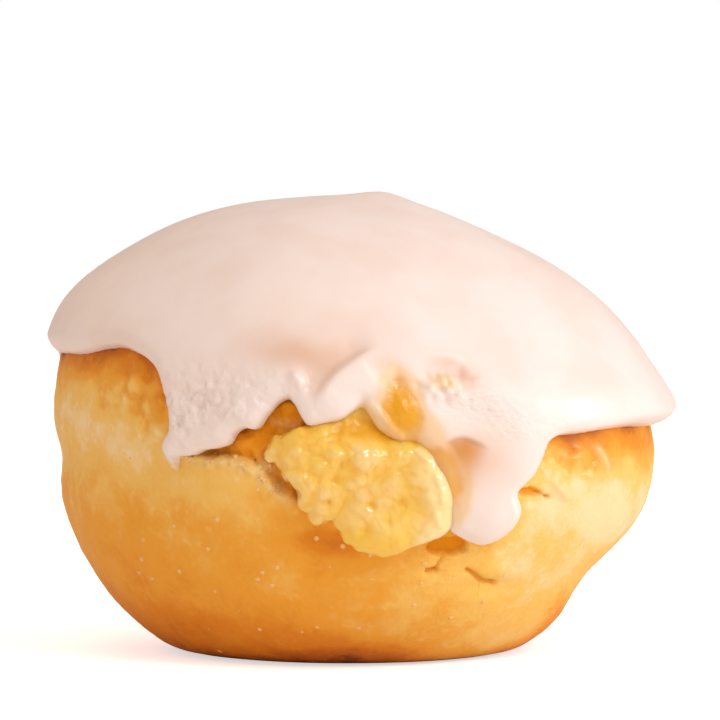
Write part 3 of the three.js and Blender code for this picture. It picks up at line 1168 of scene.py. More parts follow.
    def relief(self, angle: Array, height: Array, spots: Array) -> tuple[Array, Marks]:
        """Folds, wrinkles and thin places of the icing.

        Args:
            angle: radians from the front.
            height: millimetres.
            spots: the places in space, in millimetres.

        Returns:
            Millimetres of lift, and the marks film, tan, shine and frost.
        """
        noise = Noise(self.seed)
        crumpled = np.clip(swelled(self.crumples, angle, height), 0, 1)
        fibrous = np.clip(swelled(self.fibres, angle, height), 0, 1)
        lift = sum(ripples.at(noise, spots) for ripples in self.skin)
        lift += crumpled * sum(crumple.at(noise, spots) for crumple in self.crumpling)
        lift += self.ridge.lift * self.ridge.share(angle, height)
        lift += fibrous * self.fibre.at(noise, spots @ self.fibre_run)
        lift += self.lumpy.at(angle, height) * self.crystals.at(noise, spots)
        stepped = [step.at(angle, height) for step in self.steps]
        lift += sum(rise for rise, _ in stepped)
        depth = self.window.reach(angle, height).depth + self.window_rags.at(noise, spots)
        window = smoothstep(*self.window_rim, depth)
        lift += window * (self.window_lift + self.window_grain.at(noise, spots))
        veil = self.veil.share(angle, height)
        lift += self.veil.lift * veil + self.bead.lift * self.bead.share(angle, height)
        film = swelled(self.films, angle, height)
        film += np.maximum(self.window_film * window, self.veil_film * veil)
        film *= self.film_mottle.at(noise, spots)
        # Mostly painted shade, warm tan: the listed swells and the sunk sides of the steps.
        tan = swelled(self.crust_tints_and_shades, angle, height)
        tan += sum(share * sunk for share, (_, sunk) in zip(self.step_shades, stepped))
        tan *= self.tint_and_shade_mottle.at(noise, spots)
        return lift, {
            "film": np.clip(film, 0, 1),
            "tan": np.clip(tan, 0, 1),
            "frost": fibrous,
            "shine": np.maximum(self.film_shine * smoothstep(*self.shiny_film, film), crumpled),
        }

    def build(self) -> bpy.types.Object:
        """Makes the icing's mesh: the outer skin, its lip, and an underside just inside the dough.

        Returns:
            The icing as one closed piece.
        """
        angle, polar = self.rows.grid()
        height = FORM.height_at(polar)
        edge = self.edge.reach(angle, height)
        depth = np.where(height > self.edge_top, self.well_inside, edge.depth)
        inside = depth > 0
        coarse = np.tile(smoothstep(*self.coarse, self.rows.spacing()), len(angle) // self.rows.columns)
        spots = FORM.skin(angle, polar)
        relief, marks = self.relief(angle, height, spots)
        thickness = np.maximum(self.body(angle, polar) + relief, self.thinnest)
        lip = self.lip * (1 - self.film_lip * marks["film"]) * (1 - self.blunt.at(angle, height))
        share = np.clip(depth / lip, 0, 1)
        profile = (1 - coarse) * np.sqrt(1 - (1 - share) ** 2) + coarse * np.sin(math.pi / 2 * share)
        lift = np.where(inside, thickness * profile, -self.skirt)
        bulge = self.overhang * (1 - coarse) * bell(depth, *self.bulge)
        outer = self.shifted(angle, polar, edge.away, np.where(inside, bulge, edge.distance), lift)
        beneath = np.full_like(lift, self.underside)
        inner = self.shifted(angle, polar, edge.away, np.where(inside, 0, edge.distance), beneath)
        return self.closed(outer, inner, inside, marks)

    def shifted(self, angle: Array, polar: Array, way: Array, by: Array, lift: Array) -> Array:
        """Moves places along the skin before they are lifted from it.

        Args:
            angle: radians from the front.
            polar: radians down from the top.
            way: direction on the unrolled plane.
            by: millimetres to move.
            lift: millimetres out from the skin.

        Returns:
            Points in space, in millimetres.
        """
        still = by < self.least_move
        height = FORM.height_at(polar) + by * way[:, 1]
        moved = np.where(still, polar, FORM.polar_at(height))
        return FORM.lifted(np.where(still, angle, angle + by * way[:, 0] / SIDE_RADIUS), moved, lift)

    def closed(self, outer: Array, inner: Array, inside: Array, marks: Marks) -> bpy.types.Object:
        """Joins the two sides of the icing where they reach past its edge.

        Args:
            outer: places of the outer skin, in millimetres.
            inner: places of the underside.
            inside: whether each place lies inside the edge.
            marks: the icing's attributes at each place.

        Returns:
            The icing's piece.
        """
        cells = self.rows.cells()
        cells = cells[inside[cells].any(axis=1)]
        sides = np.stack([cells, np.roll(cells, -1, axis=1)], axis=-1).reshape(-1, 2)
        keys = sides[:, 0].astype(np.int64) * len(inside) + sides[:, 1]
        back = sides[:, 1].astype(np.int64) * len(inside) + sides[:, 0]
        rim = sides[~np.isin(keys, back)]
        rim = rim[rim[:, 0] >= self.rows.columns]
        used = np.unique(cells)
        number = np.full(len(inside), -1)
        number[used] = np.arange(len(used))
        number[: self.rows.columns] = number[0]
        shift = len(used)
        faces = without_doubles(number[cells]) + without_doubles(number[cells][:, ::-1] + shift)
        faces += [[b, a, a + shift, b + shift] for a, b in number[rim].tolist()]
        points = np.concatenate([outer[used], inner[used]])
        doubled = {mark: np.tile(values[used], 2) for mark, values in marks.items()}
        return mesh_piece("icing_skin", points, faces, self.finish.material(), doubled)

    def dress(self, piece: bpy.types.Object) -> None:
        """Ties the icing to the frame.

        Args:
            piece: the icing's mesh.
        """
        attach(piece, BODY)
        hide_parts("icing")


@dataclass
class Bun:
    """The fried bun: its crust with the slit that the custard runs from, cracks, pits and creases."""

    slot: str = "dough"
    seed: int = 5
    rows: Rows = Rows(columns=470, levels=(41.2, 28.0, 5.0, 0.0, -4.3), counts=(16, 132, 22, 12))
    mouth: Line = Line(
        (
            (-31.5, 18.9), (-30.4, 18.6), (-27.6, 18.5), (-24.2, 18.7), (-21.2, 18.7), (-19.6, 18.4),
            (-17.6, 18.1), (-16.2, 17.6), (-14.8, 17.0), (-12.6, 16.2), (-8, 15), (0, 14), (10, 14.2),
            (15.5, 15.5), (16, 19), (13, 23), (6, 25), (-4, 25.4), (-11.6, 26), (-18, 23.6), (-25, 21),
        ),
        Run.CLOSED,
    )
    mouth_depth: float = 1.4
    mouth_wall: float = 0.55
    mouth_rags: Ripples = Ripples(0.8, 0.35, 2)
    mouth_floor: Ripples = Ripples(1.0, 0.35, 2)
    most_filled: float = 0.95
    recess_shade_span: Pair = (0.1, 0.6)
    recess_shade_mottle: Ripples = Ripples(0.8, 0.4, 2, level=0.85)
    lip_end: Pair = (-9.0, -14.0)  # the degrees over which the torn lip begins
    bead: float = 0.14
    bead_band: Pair = (0.45, -0.3)  # half width, and how far inside the mouth its middle lies
    bead_rags: Ripples = Ripples(0.75, 0.3, 2)
    torn_band: Pair = (0.34, -0.12)
    torn_rags: Ripples = Ripples(0.8, 0.9, 2, level=0.65)
    dents: tuple[Swell, ...] = (
        Swell(85, 9.5, 16, 5, -0.65),
        Swell(90, 5.0, 12, 2.2, -0.4),
        Swell(30, 9.4, 2.2, 0.8, 0.25),
        Swell(-43.6, 24.2, 1.1, 0.5, 0.25),
        Swell(-46.4, 23.9, 0.6, 0.9, 0.2),
        Swell(-38.6, 24.4, 0.5, 0.5, 0.25),
        Swell(-37.6, 20.6, 0.7, 0.5, 0.3),
    )
    nub: Swell = Swell(-20.8, 20.4, 1.2, 1.2, 0.95)
    nub_light: float = 0.7
    mounds: tuple[Swell, ...] = (Swell(-11.4, 23.9, 1.9, 1.4, 0.8), Swell(-16.4, 18.6, 1.0, 0.9, 0.85))
    shred: Swell = Swell(-16.2, 18.2, 0.8, 0.8, 0.7)
    wisp: Swell = Swell(-12.2, 22.3, 1.3, 0.4, 0.85)
    wisp_rags: Ripples = Ripples(0.7, 1.0, 2, level=0.5)
    hole: Line = Line(
        (
            (13.8, 11.5), (15.6, 12.7), (18.2, 12.9), (22.3, 12.4), (22.3, 11.3), (18.0, 10.9),
            (15.2, 11.1),
        ),
        Run.CLOSED,
    )
    right_pit: Line = Line(
        (
            (30.6, 17.3), (32.2, 16.8), (34.4, 16.75), (35.6, 17.0), (36.8, 16.75), (38.4, 16.6),
            (39.0, 16.95), (37.0, 17.3), (35.0, 17.75), (32.8, 17.8), (31.0, 17.6),
        ),
        Run.CLOSED,
    )
    pit_wall: Pair = (-0.05, 0.3)
    pit_rags: Ripples = Ripples(0.9, 0.22, 2)
    pit_depths: Pair = (0.6, 0.45)
    pit_shades: Pair = (1.0, 0.95)
    ridges: tuple[Groove, ...] = (
        Groove(Line(((50.2, 21.8), (51.8, 21.0), (53.0, 20.0))), 0.5, 0.36),
        Groove(Line(((39.4, 18.2), (41.0, 17.5), (42.6, 16.8))), 0.42, 0.34),
    )
    ridge_highlight: float = 0.7
    drops: tuple[Swell, ...] = (
        Swell(41.4, 21.1, 0.5, 0.4, 0.3),
        Swell(45.0, 22.0, 0.6, 0.35, 0.25),
        Swell(37.4, 21.2, 0.4, 0.4, 0.22),
        Swell(48.0, 19.0, 0.5, 0.5, 0.22),
    )
    grooves: tuple[Groove, ...] = (
        Groove(Line(((23.6, 9.5), (25.4, 9.1), (28.2, 8.4), (31.6, 8.1))), 0.22, -0.5),
        Groove(Line(((15.0, 9.4), (16.9, 9.5))), 0.26, -0.55),
        Groove(Line(((16.6, 9.6), (17.8, 11.0))), 0.16, -0.2),
    )
    groove_shade: float = 0.8
    wet_spots: tuple[Swell, ...] = (Swell(46, 20.0, 6.5, 1.7, 0.8), Swell(-48, 23.2, 6, 2.2, 0.4))
    knobbly: tuple[Swell, ...] = (
        Swell(44, 20, 5.5, 2.4), Swell(-46, 23.2, 5, 2.4, 1.4), Swell(-39, 20.6, 2.4, 2.0, 0.8)
    )
    knobs: Ripples = Ripples(2.2, 1.0, 3)
    knob_lift: float = 0.3
    knob_light_and_shade: float = 0.25
    crust: tuple[Ripples, ...] = (Ripples(1.5, 0.05, 3), Ripples(8.0, 0.12))
    base_fade: Pair = (-0.5, 2.0)  # the heights between which relief dies away towards the flat base
    bake_heights: tuple[float, ...] = (-5, 0, 2, 5, 9, 13, 16, 18.5, 21, 24, 27, 42)
    bake_levels: tuple[float, ...] = (0.9, 0.93, 0.8, 0.66, 0.5, 0.44, 0.3, 0.18, 0.2, 0.34, 0.6, 0.7)
    # Partly painted light and shade: the darker swells below the custard and under the right icing edge are
    # painted shadow; the pale swells on the lower right, where the light falls, and on the raised bumps at the
    # left are painted light; the rest is the crust's own browning.
    browning_and_painted_light: tuple[Swell, ...] = (
        Swell(-4, 12.2, 4.5, 1.1, 0.25),
        Swell(62, 22.4, 13, 1.6, 0.3),
        Swell(52, 15.4, 9, 2.6, -0.25),
        Swell(72, 20, 5, 1.8, 0.1),
        Swell(58, 19.6, 8, 1.2, 0.09),
        Swell(66, 12.5, 11, 3.4, -0.34),
        Swell(60, 7.2, 8, 2.4, -0.18),
        Swell(52, 2.2, 7, 2.2, -0.34),
        Swell(-33.8, 16.6, 1.6, 1.2, -0.14),
        Swell(35, 16.0, 3, 0.6, -0.12),
        Swell(-12, 4.8, 6, 1.6, -0.1),
        Swell(6, 1.0, 10, 1.2, 0.22),
        Swell(-24, 1.6, 8, 2.0, -0.12),
        Swell(-48, 1.6, 8, 1.6, -0.08),
        Swell(43, 21.7, 2.6, 1.3, 0.14),
        Swell(49.5, 20.2, 1.5, 0.9, 0.15),
        Swell(-20.8, 20.4, 1.4, 1.3, 0.3),
        Swell(36, 10.5, 9, 4.5, -0.26),
        Swell(30, 3.0, 18, 5, -0.42),
        Swell(-66, 21, 7, 2.6, -0.08),
        Swell(-40.5, 21.8, 1.8, 1.6, 0.2),
        Swell(-62.6, 25.2, 4, 1.2, 0.2),
        Swell(-47.4, 25.2, 1.0, 0.6, 0.15),
        Swell(-43.6, 24.0, 1.2, 0.6, -0.15),
        Swell(-38.4, 24.2, 0.6, 0.6, -0.15),
        Swell(-37.4, 20.5, 0.8, 0.6, -0.2),
        Swell(-62, 18, 5, 2, 0.1),
        Swell(-22, 4.5, 6, 2, 0.06),
        Swell(-50, 19, 6, 2, -0.08),
        Swell(-40, 10, 14, 7, -0.07),
    )
    bake_mottle: Ripples = Ripples(5.0, 0.12, 3)
    # Painted shadow of the icing: just below its edge the crust is painted browner.
    icing_shadow_reach: float = 1.2  # how far below the icing's edge the crust is darker
    icing_shadow_heights: Pair = (18.0, 22.0)
    icing_shadow_least: float = 0.3
    icing_shadow_mottle: Ripples = Ripples(3.5, 0.3, level=0.4)
    blistered: tuple[Swell, ...] = (
        Swell(-6, 7.6, 13, 4.4),
        Swell(-34, 11.5, 7, 3.4, 0.6),
        Swell(24, 7, 6, 2.5, 0.6),
        Swell(160, 10, 18, 3),
    )
    finish: FriedDough = FriedDough()

    def relief(self, angle: Array, height: Array, spots: Array) -> tuple[Array, Marks]:
        """Works out the crust's relief and its marks.

        Args:
            angle: radians from the front.
            height: millimetres.
            spots: the places in space, in millimetres.

        Returns:
            Millimetres of lift, and the marks bake, torn, wet, deep, crumbs and blister.
        """
        noise = Noise(self.seed)
        depth = self.mouth.reach(angle, height).depth
        hollow = smoothstep(0, self.mouth_wall, depth + self.mouth_rags.at(noise, spots))
        nub = self.nub.at(angle, height)
        filled = np.clip(nub + swelled(self.mounds, angle, height), 0, self.most_filled)
        lift = hollow * (self.mouth_floor.at(noise, spots) - self.mouth_depth * (1 - filled))
        left = smoothstep(*np.radians(self.lip_end), angle)
        lift += left * bell(depth, *self.bead_band) * (self.bead + self.bead_rags.at(noise, spots))
        torn_and_glints = left * bell(depth, *self.torn_band) * np.clip(self.torn_rags.at(noise, spots), 0, 1)
        crumbs = np.maximum(torn_and_glints, self.shred.at(angle, height))
        # Partly painted highlight: the wisp lays the pale crumb colour where the notch's wet edge glints.
        wisp = self.wisp.at(angle, height) * np.clip(self.wisp_rags.at(noise, spots), 0, 1)
        torn_and_glints = np.maximum(crumbs, wisp)
        # Painted shade: the deeper part of the mouth is painted amber, less on the nub.
        recess_shade = hollow * smoothstep(*self.recess_shade_span, depth) * (1 - self.nub_light * nub)
        recess_shade *= self.recess_shade_mottle.at(noise, spots)
        rags = self.pit_rags.at(noise, spots)
        # Painted shade: the hole, the pit and the grooves are painted amber as well.
        for outline, drop, tint in zip((self.hole, self.right_pit), self.pit_depths, self.pit_shades):
            pit = smoothstep(*self.pit_wall, outline.reach(angle, height).depth + rags)
            lift -= drop * pit
            recess_shade = np.maximum(recess_shade, tint * pit)
        for groove in self.grooves:
            share = groove.share(angle, height)
            lift += groove.lift * share
            recess_shade = np.maximum(recess_shade, self.groove_shade * share)
        wet = np.clip(swelled(self.wet_spots, angle, height), 0, 1)
        # Painted highlights: the ridges, which are thin glaze streaks, and the drops get the pale crumb colour
        # as well as their gloss.
        for ridge in self.ridges:
            share = ridge.share(angle, height)
            lift += ridge.lift * share
            wet = np.maximum(wet, share)
            torn_and_glints = np.maximum(torn_and_glints, self.ridge_highlight * share)
        for drop in self.drops:
            bulge = drop.at(angle, height)
            lift += bulge
            torn_and_glints = np.maximum(torn_and_glints, bulge)
            wet = np.maximum(wet, bulge / drop.lift)
        knobs = swelled(self.knobbly, angle, height) * self.knobs.at(noise, spots)
        lift += self.knob_lift * knobs + swelled(self.dents, angle, height)
        lift += sum(ripples.at(noise, spots) for ripples in self.crust)
        # The crust's browning by height, with swells that are partly painted shadow and painted light.
        bake = np.interp(height, self.bake_heights, self.bake_levels) + swelled(self.browning_and_painted_light, angle, height)
        # Painted light and shade: the knobs' crests are painted paler and the gaps between them browner.
        bake += self.bake_mottle.at(noise, spots) - self.knob_light_and_shade * knobs
        # Painted shadow: the crust is painted browner just below the icing's edge, strongest high on the bun.
        below = np.clip(-Icing().edge.reach(angle, height).depth, 0, None)
        icing_shadow = np.exp(-below / self.icing_shadow_reach) * smoothstep(*self.icing_shadow_heights, height, self.icing_shadow_least)
        bake += icing_shadow * self.icing_shadow_mottle.at(noise, spots)
        blister = swelled(self.blistered, angle, height) * (1 - recess_shade)
        return lift, {
            "bake": np.clip(bake, 0, 1),
            "torn_and_glints": torn_and_glints,
            "wet": wet,
            "recess_shade": recess_shade,
            "crumbs": crumbs,
            "blister": blister,
        }

    def build(self) -> bpy.types.Object:
        """Makes the bun's mesh, closed at its top and base.

        Returns:
            The bun's piece.
        """
        angle, polar = self.rows.grid()
        polar = np.where(np.arange(len(polar)) >= len(polar) - self.rows.columns, math.pi, polar)
        height = FORM.height_at(polar)
        spots = FORM.skin(angle, polar)
        lift, marks = self.relief(angle, height, spots)
        lift *= smoothstep(*self.base_fade, height)
        points = FORM.lifted(angle, polar, lift)
        points[:, 2] = np.maximum(points[:, 2], 0)
        number = np.arange(len(points))
        number[: self.rows.columns] = 0
        number[-self.rows.columns :] = number[-1]
        faces = without_doubles(number[self.rows.cells()])
        return mesh_piece("bun_crust", points, faces, self.finish.material(), marks)

    def dress(self, piece: bpy.types.Object) -> None:
        """Ties the bun to the frame.

        Args:
            piece: the bun's mesh.
        """
        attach(piece, BODY)
        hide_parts("bun")


@dataclass
class Custard:
    """The custard: a lumpy lobe over the bun's side on a neck that comes from a pocket in the middle."""

    slot: str = "custard"
    seed: int = 23
    rim_seed: int = 41
    turns: int = 330
    front_rows: int = 74
    crowd: float = 0.8  # below 1 the rows crowd towards the rim
    middle: Pair = (2.0, 17.8)
    rim: Line = Line(
        (
            (17.7, 14.4), (17.4, 16.4), (16.3, 18.1), (14.3, 20.0), (12.5, 21.6), (9.6, 23.2), (5, 24.6),
            (1, 25.0), (-4, 23.8), (-8.4, 22.4), (-11.4, 21.5), (-13.8, 20.9), (-15.3, 20.3), (-15.9, 19.7),
            (-14.6, 19.1), (-13.1, 18.7), (-12.4, 17.9), (-11.2, 16.9), (-10.0, 16.0), (-8.6, 15.3),
            (-7.6, 14.2), (-5.6, 14.0), (-4.2, 14.2), (-2.4, 13.7), (-2.0, 12.9), (0.2, 12.1), (3.2, 11.6),
            (5.6, 11.4), (8.8, 11.8), (11.4, 12.5), (14.2, 13.0), (16.4, 13.5),
        ),
        Run.CLOSED,
    )
    rim_rags: tuple[Ripples, ...] = (Ripples(1.8, 0.34, 3), Ripples(1.8, 0.34, 3, shift=50))
    rag_angles: Pair = (10.0, 5.0)  # the degrees over which the rim grows ragged
    rag_least: float = 0.25
    rag_layer: float = 0.5  # the height in the noise at which the flat rim is read
    thickness: float = 1.7
    lip: float = 1.3
    sink: float = 0.5  # how far under the dough's skin the rim ends
    tuck: float = -1.6  # how far out from the skin the neck begins, so under it
    overhang: float = 0.35
    overhang_band: Pair = (0.4, 0.4)  # half width, and millimetres in from the rim
    scallops: Lumps = Lumps(1.2, 0.9, 0.05, 0.16)
    loose_angles: Pair = (11.0, 6.0)  # the degrees over which the rim grows scalloped
    loose_heights: Pair = (13.2, 14.6)
    loose_least: float = 0.3
    swells: tuple[Swell, ...] = (
        Swell(4, 13.6, 5.0, 2.0, 0.7),
        Swell(-8, 17.4, 2.6, 2.2, 0.4),
        Swell(13.4, 16.4, 1.8, 3.0, 0.35),
        Swell(-2, 23.4, 6.5, 2.2, -1.5),
        Swell(8, 22.8, 3.5, 1.8, -0.8),
        Swell(-15.2, 20.6, 1.6, 1.6, -1.2),
    )
    pits: tuple[Swell, ...] = (
        Swell(2.9, 16.2, 0.5, 0.35, -0.2),
        Swell(8.0, 16.2, 0.5, 0.7, -0.2),
        Swell(5.7, 14.9, 0.35, 0.4, -0.17),
        Swell(-1.0, 19.5, 0.35, 0.35, -0.17),
        Swell(-0.1, 18.9, 0.35, 0.35, -0.17),
        Swell(-4.3, 16.2, 0.4, 0.22, -0.2),
        Swell(1.8, 14.0, 0.4, 0.3, -0.12),
        Swell(9.6, 19.0, 1.2, 0.25, -0.1),
        Swell(10.4, 17.6, 1.1, 0.25, -0.1),
    )
    wobbles: tuple[Ripples, ...] = (Ripples(0.8, 0.3, shift=37), Ripples(0.8, 0.3, shift=53))
    bends: tuple[Ripples, ...] = tuple(Ripples(1.8, 0.4, shift=shift) for shift in (3, 13, 29))
    hills: tuple[Ripples | Lumps, ...] = (Ripples(3.6, 0.2), Lumps(2.1, 0.44, 0.04, 0.17))
    curds: tuple[Lumps, ...] = (Lumps(1.0, 1.0, 0.035, 0.17, 9), Lumps(0.5, 1.0, 0.06, 0.16, 21))
    curd_lifts: tuple[Pair, ...] = ((0.12, 0.2), (0.03, 0.08))  # everywhere, and more where it curdled
    skin: Ripples = Ripples(0.45, 0.02)
    # Painted shade: the gaps between the lumps and the pits are painted a deeper amber.
    pit_level: float = 0.3
    pit_gains: tuple[float, ...] = (1.2, 1.4, 1.8)  # how much hills, curds and pits darken the gaps
    wet_ridges: tuple[Groove, ...] = (
        Groove(Line(((10.6, 20.9), (12.4, 20.0), (14.2, 18.4), (15.0, 16.8))), 0.3, 0.28),
        Groove(Line(((12.4, 17.2), (13.6, 16.0), (14.8, 14.7))), 0.35, 0.28),
    )
    ridge_beads: Ripples = Ripples(0.9, 0.5, level=0.8, shift=3)
    # painted highlight: how much paler the wet ridges are painted
    ridge_light: float = 0.45
    curdled: Swell = Swell(-7, 18.2, 4.6, 3.4)
    # Painted shade: the custard under the icing's edge is painted a deeper amber; the last swell, which is
    # negative, paints the lit lower right paler, as painted light.
    shaded: tuple[Swell, ...] = (
        Swell(5, 22.4, 5.0, 1.3, 0.5), Swell(-10, 22, 3.0, 1.2, 0.35), Swell(9.5, 14.4, 4.0, 3.0, -0.12)
    )
    # Partly painted light: the lower lobe is painted yolk yellow, and the swell at the lower right stands for
    # it being lit through.
    yolk_glows: tuple[Swell, ...] = (Swell(4, 12.6, 4.4, 1.5, 0.9), Swell(10.5, 14.6, 3.0, 2.4, 0.5))
    gel_glow_edge: Pair = (3.6, 0.3)
    lit_angles: Pair = (9.0, 13.0)  # the degrees over which the thin rim begins to be lit through
    lit_heights: Pair = (20.8, 18.6)
    neck_middle: Pair = (1.0, 18.6)
    neck_half: Pair = (8.0, 2.8)
    neck_ends: Pair = (-25.5, -12.0)
    pocket_middle: tuple[float, float, float] = (1.0, 1.0, 19.5)
    pocket_radii: tuple[float, float, float] = (15.0, 14.0, 8.0)
    pocket_rings: tuple[float, ...] = (25, 45, 70, 95, 120, 145, 165)
    finish: EggCustard = EggCustard()

    @property
    def centre(self) -> Array:
        """The lobe's middle on the unrolled plane."""
        return np.array([math.radians(self.middle[0]) * SIDE_RADIUS, self.middle[1]])

    def ragged_rim(self, noise: Noise) -> Array:
        """The lobe's uneven rim, in even steps.

        Args:
            noise: what the rim is made ragged with.

        Returns:
            Points on the unrolled plane, in millimetres.
        """
        path = self.rim.path()
        length = np.append(0, np.cumsum(np.linalg.norm(np.diff(path, axis=0), axis=1)))
        even = np.linspace(0, length[-1], self.turns, endpoint=False)
        rim = np.stack([np.interp(even, length, values) for values in path.T], axis=-1)
        flat = np.insert(rim, 2, self.rag_layer, axis=1)
        rough = smoothstep(*np.radians(self.rag_angles), rim[:, 0] / SIDE_RADIUS, self.rag_least)
        return rim + rough[:, None] * np.stack([rags.at(noise, flat) for rags in self.rim_rags], axis=-1)

    def front(self, rim: Array) -> tuple[Array, Array]:
        """Angles and heights of the lobe's rows, from its middle out to its rim.

        Args:
            rim: the rim's points on the unrolled plane.

        Returns:
            Angle in radians and height in millimetres, row by row.
        """
        share = np.linspace(0, 1, self.front_rows + 1)[1:, None, None] ** self.crowd
        spots = self.centre + share * (rim - self.centre)
        spots = np.concatenate([self.centre[None], spots.reshape(-1, 2)])
        return spots[:, 0] / SIDE_RADIUS, spots[:, 1]

    def lumps(self, angle: Array, height: Array, spots: Array) -> tuple[Array, Array]:
        """Curds, ripples and pits of the lobe.

        Args:
            angle: radians from the front.
            height: millimetres.
            spots: the places in space, in millimetres.

        Returns:
            Millimetres of lift, and how strongly each place is painted in shade: between the curds, in the
            pits and under the icing, less on the wet ridges.
        """
        noise = Noise(self.seed)
        bent = spots + np.stack([bend.at(noise, spots) for bend in self.bends], axis=-1)
        hills = sum(hill.at(noise, bent) for hill in self.hills)
        curdled = self.curdled.at(angle, height)
        curds = np.zeros_like(height)
        for lumps, (plain, extra) in zip(self.curds, self.curd_lifts):
            curds += lumps.at(noise, bent) * (plain + extra * curdled)
        aside, up = (wobble.at(noise, spots) for wobble in self.wobbles)
        pits = swelled(self.pits, angle + aside / SIDE_RADIUS, height + up)
        lift = hills + curds + pits + self.skin.at(noise, spots)
        # Painted shade: the gaps between the lumps, the pits and the custard under the icing get a deeper
        # amber.
        pit = self.pit_level + swelled(self.shaded, angle, height)
        pit -= sum(gain * rise for gain, rise in zip(self.pit_gains, (hills, curds, pits)))
        # The wet ridges stand out and are painted paler, as painted highlights.
        beads = self.ridge_beads.at(noise, spots)
        for ridge in self.wet_ridges:
            share = ridge.share(angle, height)
            lift += ridge.lift * share * beads
            pit -= self.ridge_light * share
        return lift, np.clip(pit, 0, 1)

    def hidden(self, rim: Array, under: Array) -> Array:
        """The neck behind the lobe and the pocket in the bun.

        Args:
            rim: the rim's points on the unrolled plane.
            under: the rim's points in space, tucked under the dough.

        Returns:
            Points row by row, and the last point at the back of the pocket.
        """
        spread = rim - self.centre
        turn = np.arctan2(spread[:, 1], spread[:, 0])
        cosine, sine = np.cos(turn), np.sin(turn)
        rows = [under]
        x, z = (at + half * way for at, half, way in zip(self.neck_middle, self.neck_half, (cosine, sine)))
        rows += [np.stack([x, np.full_like(x, y), z], axis=-1) for y in self.neck_ends]
        middle, radii = np.array(self.pocket_middle), np.array(self.pocket_radii)
        for degrees in self.pocket_rings:
            ring, back = math.sin(math.radians(degrees)), -math.cos(math.radians(degrees))
            around = np.stack([ring * cosine, np.full_like(cosine, back), ring * sine], axis=-1)
            rows.append(middle + radii * around)
        return np.concatenate([*rows, [middle + radii * (0, 1, 0)]])

    def build(self) -> bpy.types.Object:
        """Makes the custard's mesh, closed at its middle and at the back of the pocket.

        Returns:
            The custard's piece.
        """
        noise = Noise(self.rim_seed)
        rim = self.ragged_rim(noise)
        angle, height = self.front(rim)
        polar = FORM.polar_at(height)
        spots = FORM.skin(angle, polar)
        reach = measured(np.vstack([rim, rim[:1]]), angle, height)
        bump, pit = self.lumps(angle, height, spots)
        inset = 1 - np.clip(reach.distance / self.lip, 0, 1)
        inset[-self.turns :] = 1
        profile = np.sqrt(1 - inset**2)
        thickness = self.thickness + swelled(self.swells, angle, height) + bump
        lift = -self.sink * (1 - profile) + thickness * profile
        loose = smoothstep(*np.radians(self.loose_angles), angle)
        loose *= smoothstep(*self.loose_heights, height, self.loose_least)
        push = self.overhang + loose * self.scallops.at(noise, spots)
        push *= bell(reach.distance, *self.overhang_band)
        push[-self.turns :] = 0
        aside, up = push * reach.away.T
        front = FORM.lifted(angle + aside / SIDE_RADIUS, FORM.polar_at(height + up), lift)
        under = FORM.lifted(angle[-self.turns :], polar[-self.turns :], np.full(self.turns, self.tuck))
        hidden = self.hidden(rim, under)
        points = np.concatenate([front, hidden])
        # Painted light: only the thin rim on the lit right side is painted pale as gel.
        lit = smoothstep(*np.radians(self.lit_angles), angle) * smoothstep(*self.lit_heights, height)
        marks = {
            "pit": pit,
            "yolk_glow": np.clip(swelled(self.yolk_glows, angle, height), 0, 1),
            "gel_glow": smoothstep(*self.gel_glow_edge, reach.distance) * lit,
        }
        marks = {mark: np.concatenate([values, np.zeros(len(hidden))]) for mark, values in marks.items()}
        return mesh_piece("custard_filling", points, self.faces(len(points)), self.finish.material(), marks)

    def faces(self, count: int) -> list[list[int]]:
        """Faces between the rows, with a fan at each end.

        Args:
            count: how many points the mesh has.

        Returns:
            Vertex numbers of each face, counterclockwise from outside.
        """
        bands = band_cells(np.arange(1, count - 1 - self.turns, self.turns), self.turns)
        ring = np.arange(self.turns)
        sides = list(zip(ring.tolist(), np.roll(ring, -1).tolist()))
        last = count - 1 - self.turns
        fans = [[0, 1 + a, 1 + b] for a, b in sides]
        fans += [[count - 1, last + b, last + a] for a, b in sides]
        return bands.tolist() + fans

    def dress(self, piece: bpy.types.Object) -> None:
        """Ties the custard to the frame.

        Args:
            piece: the custard's mesh.
        """
        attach(piece, BODY)
        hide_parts("custard")


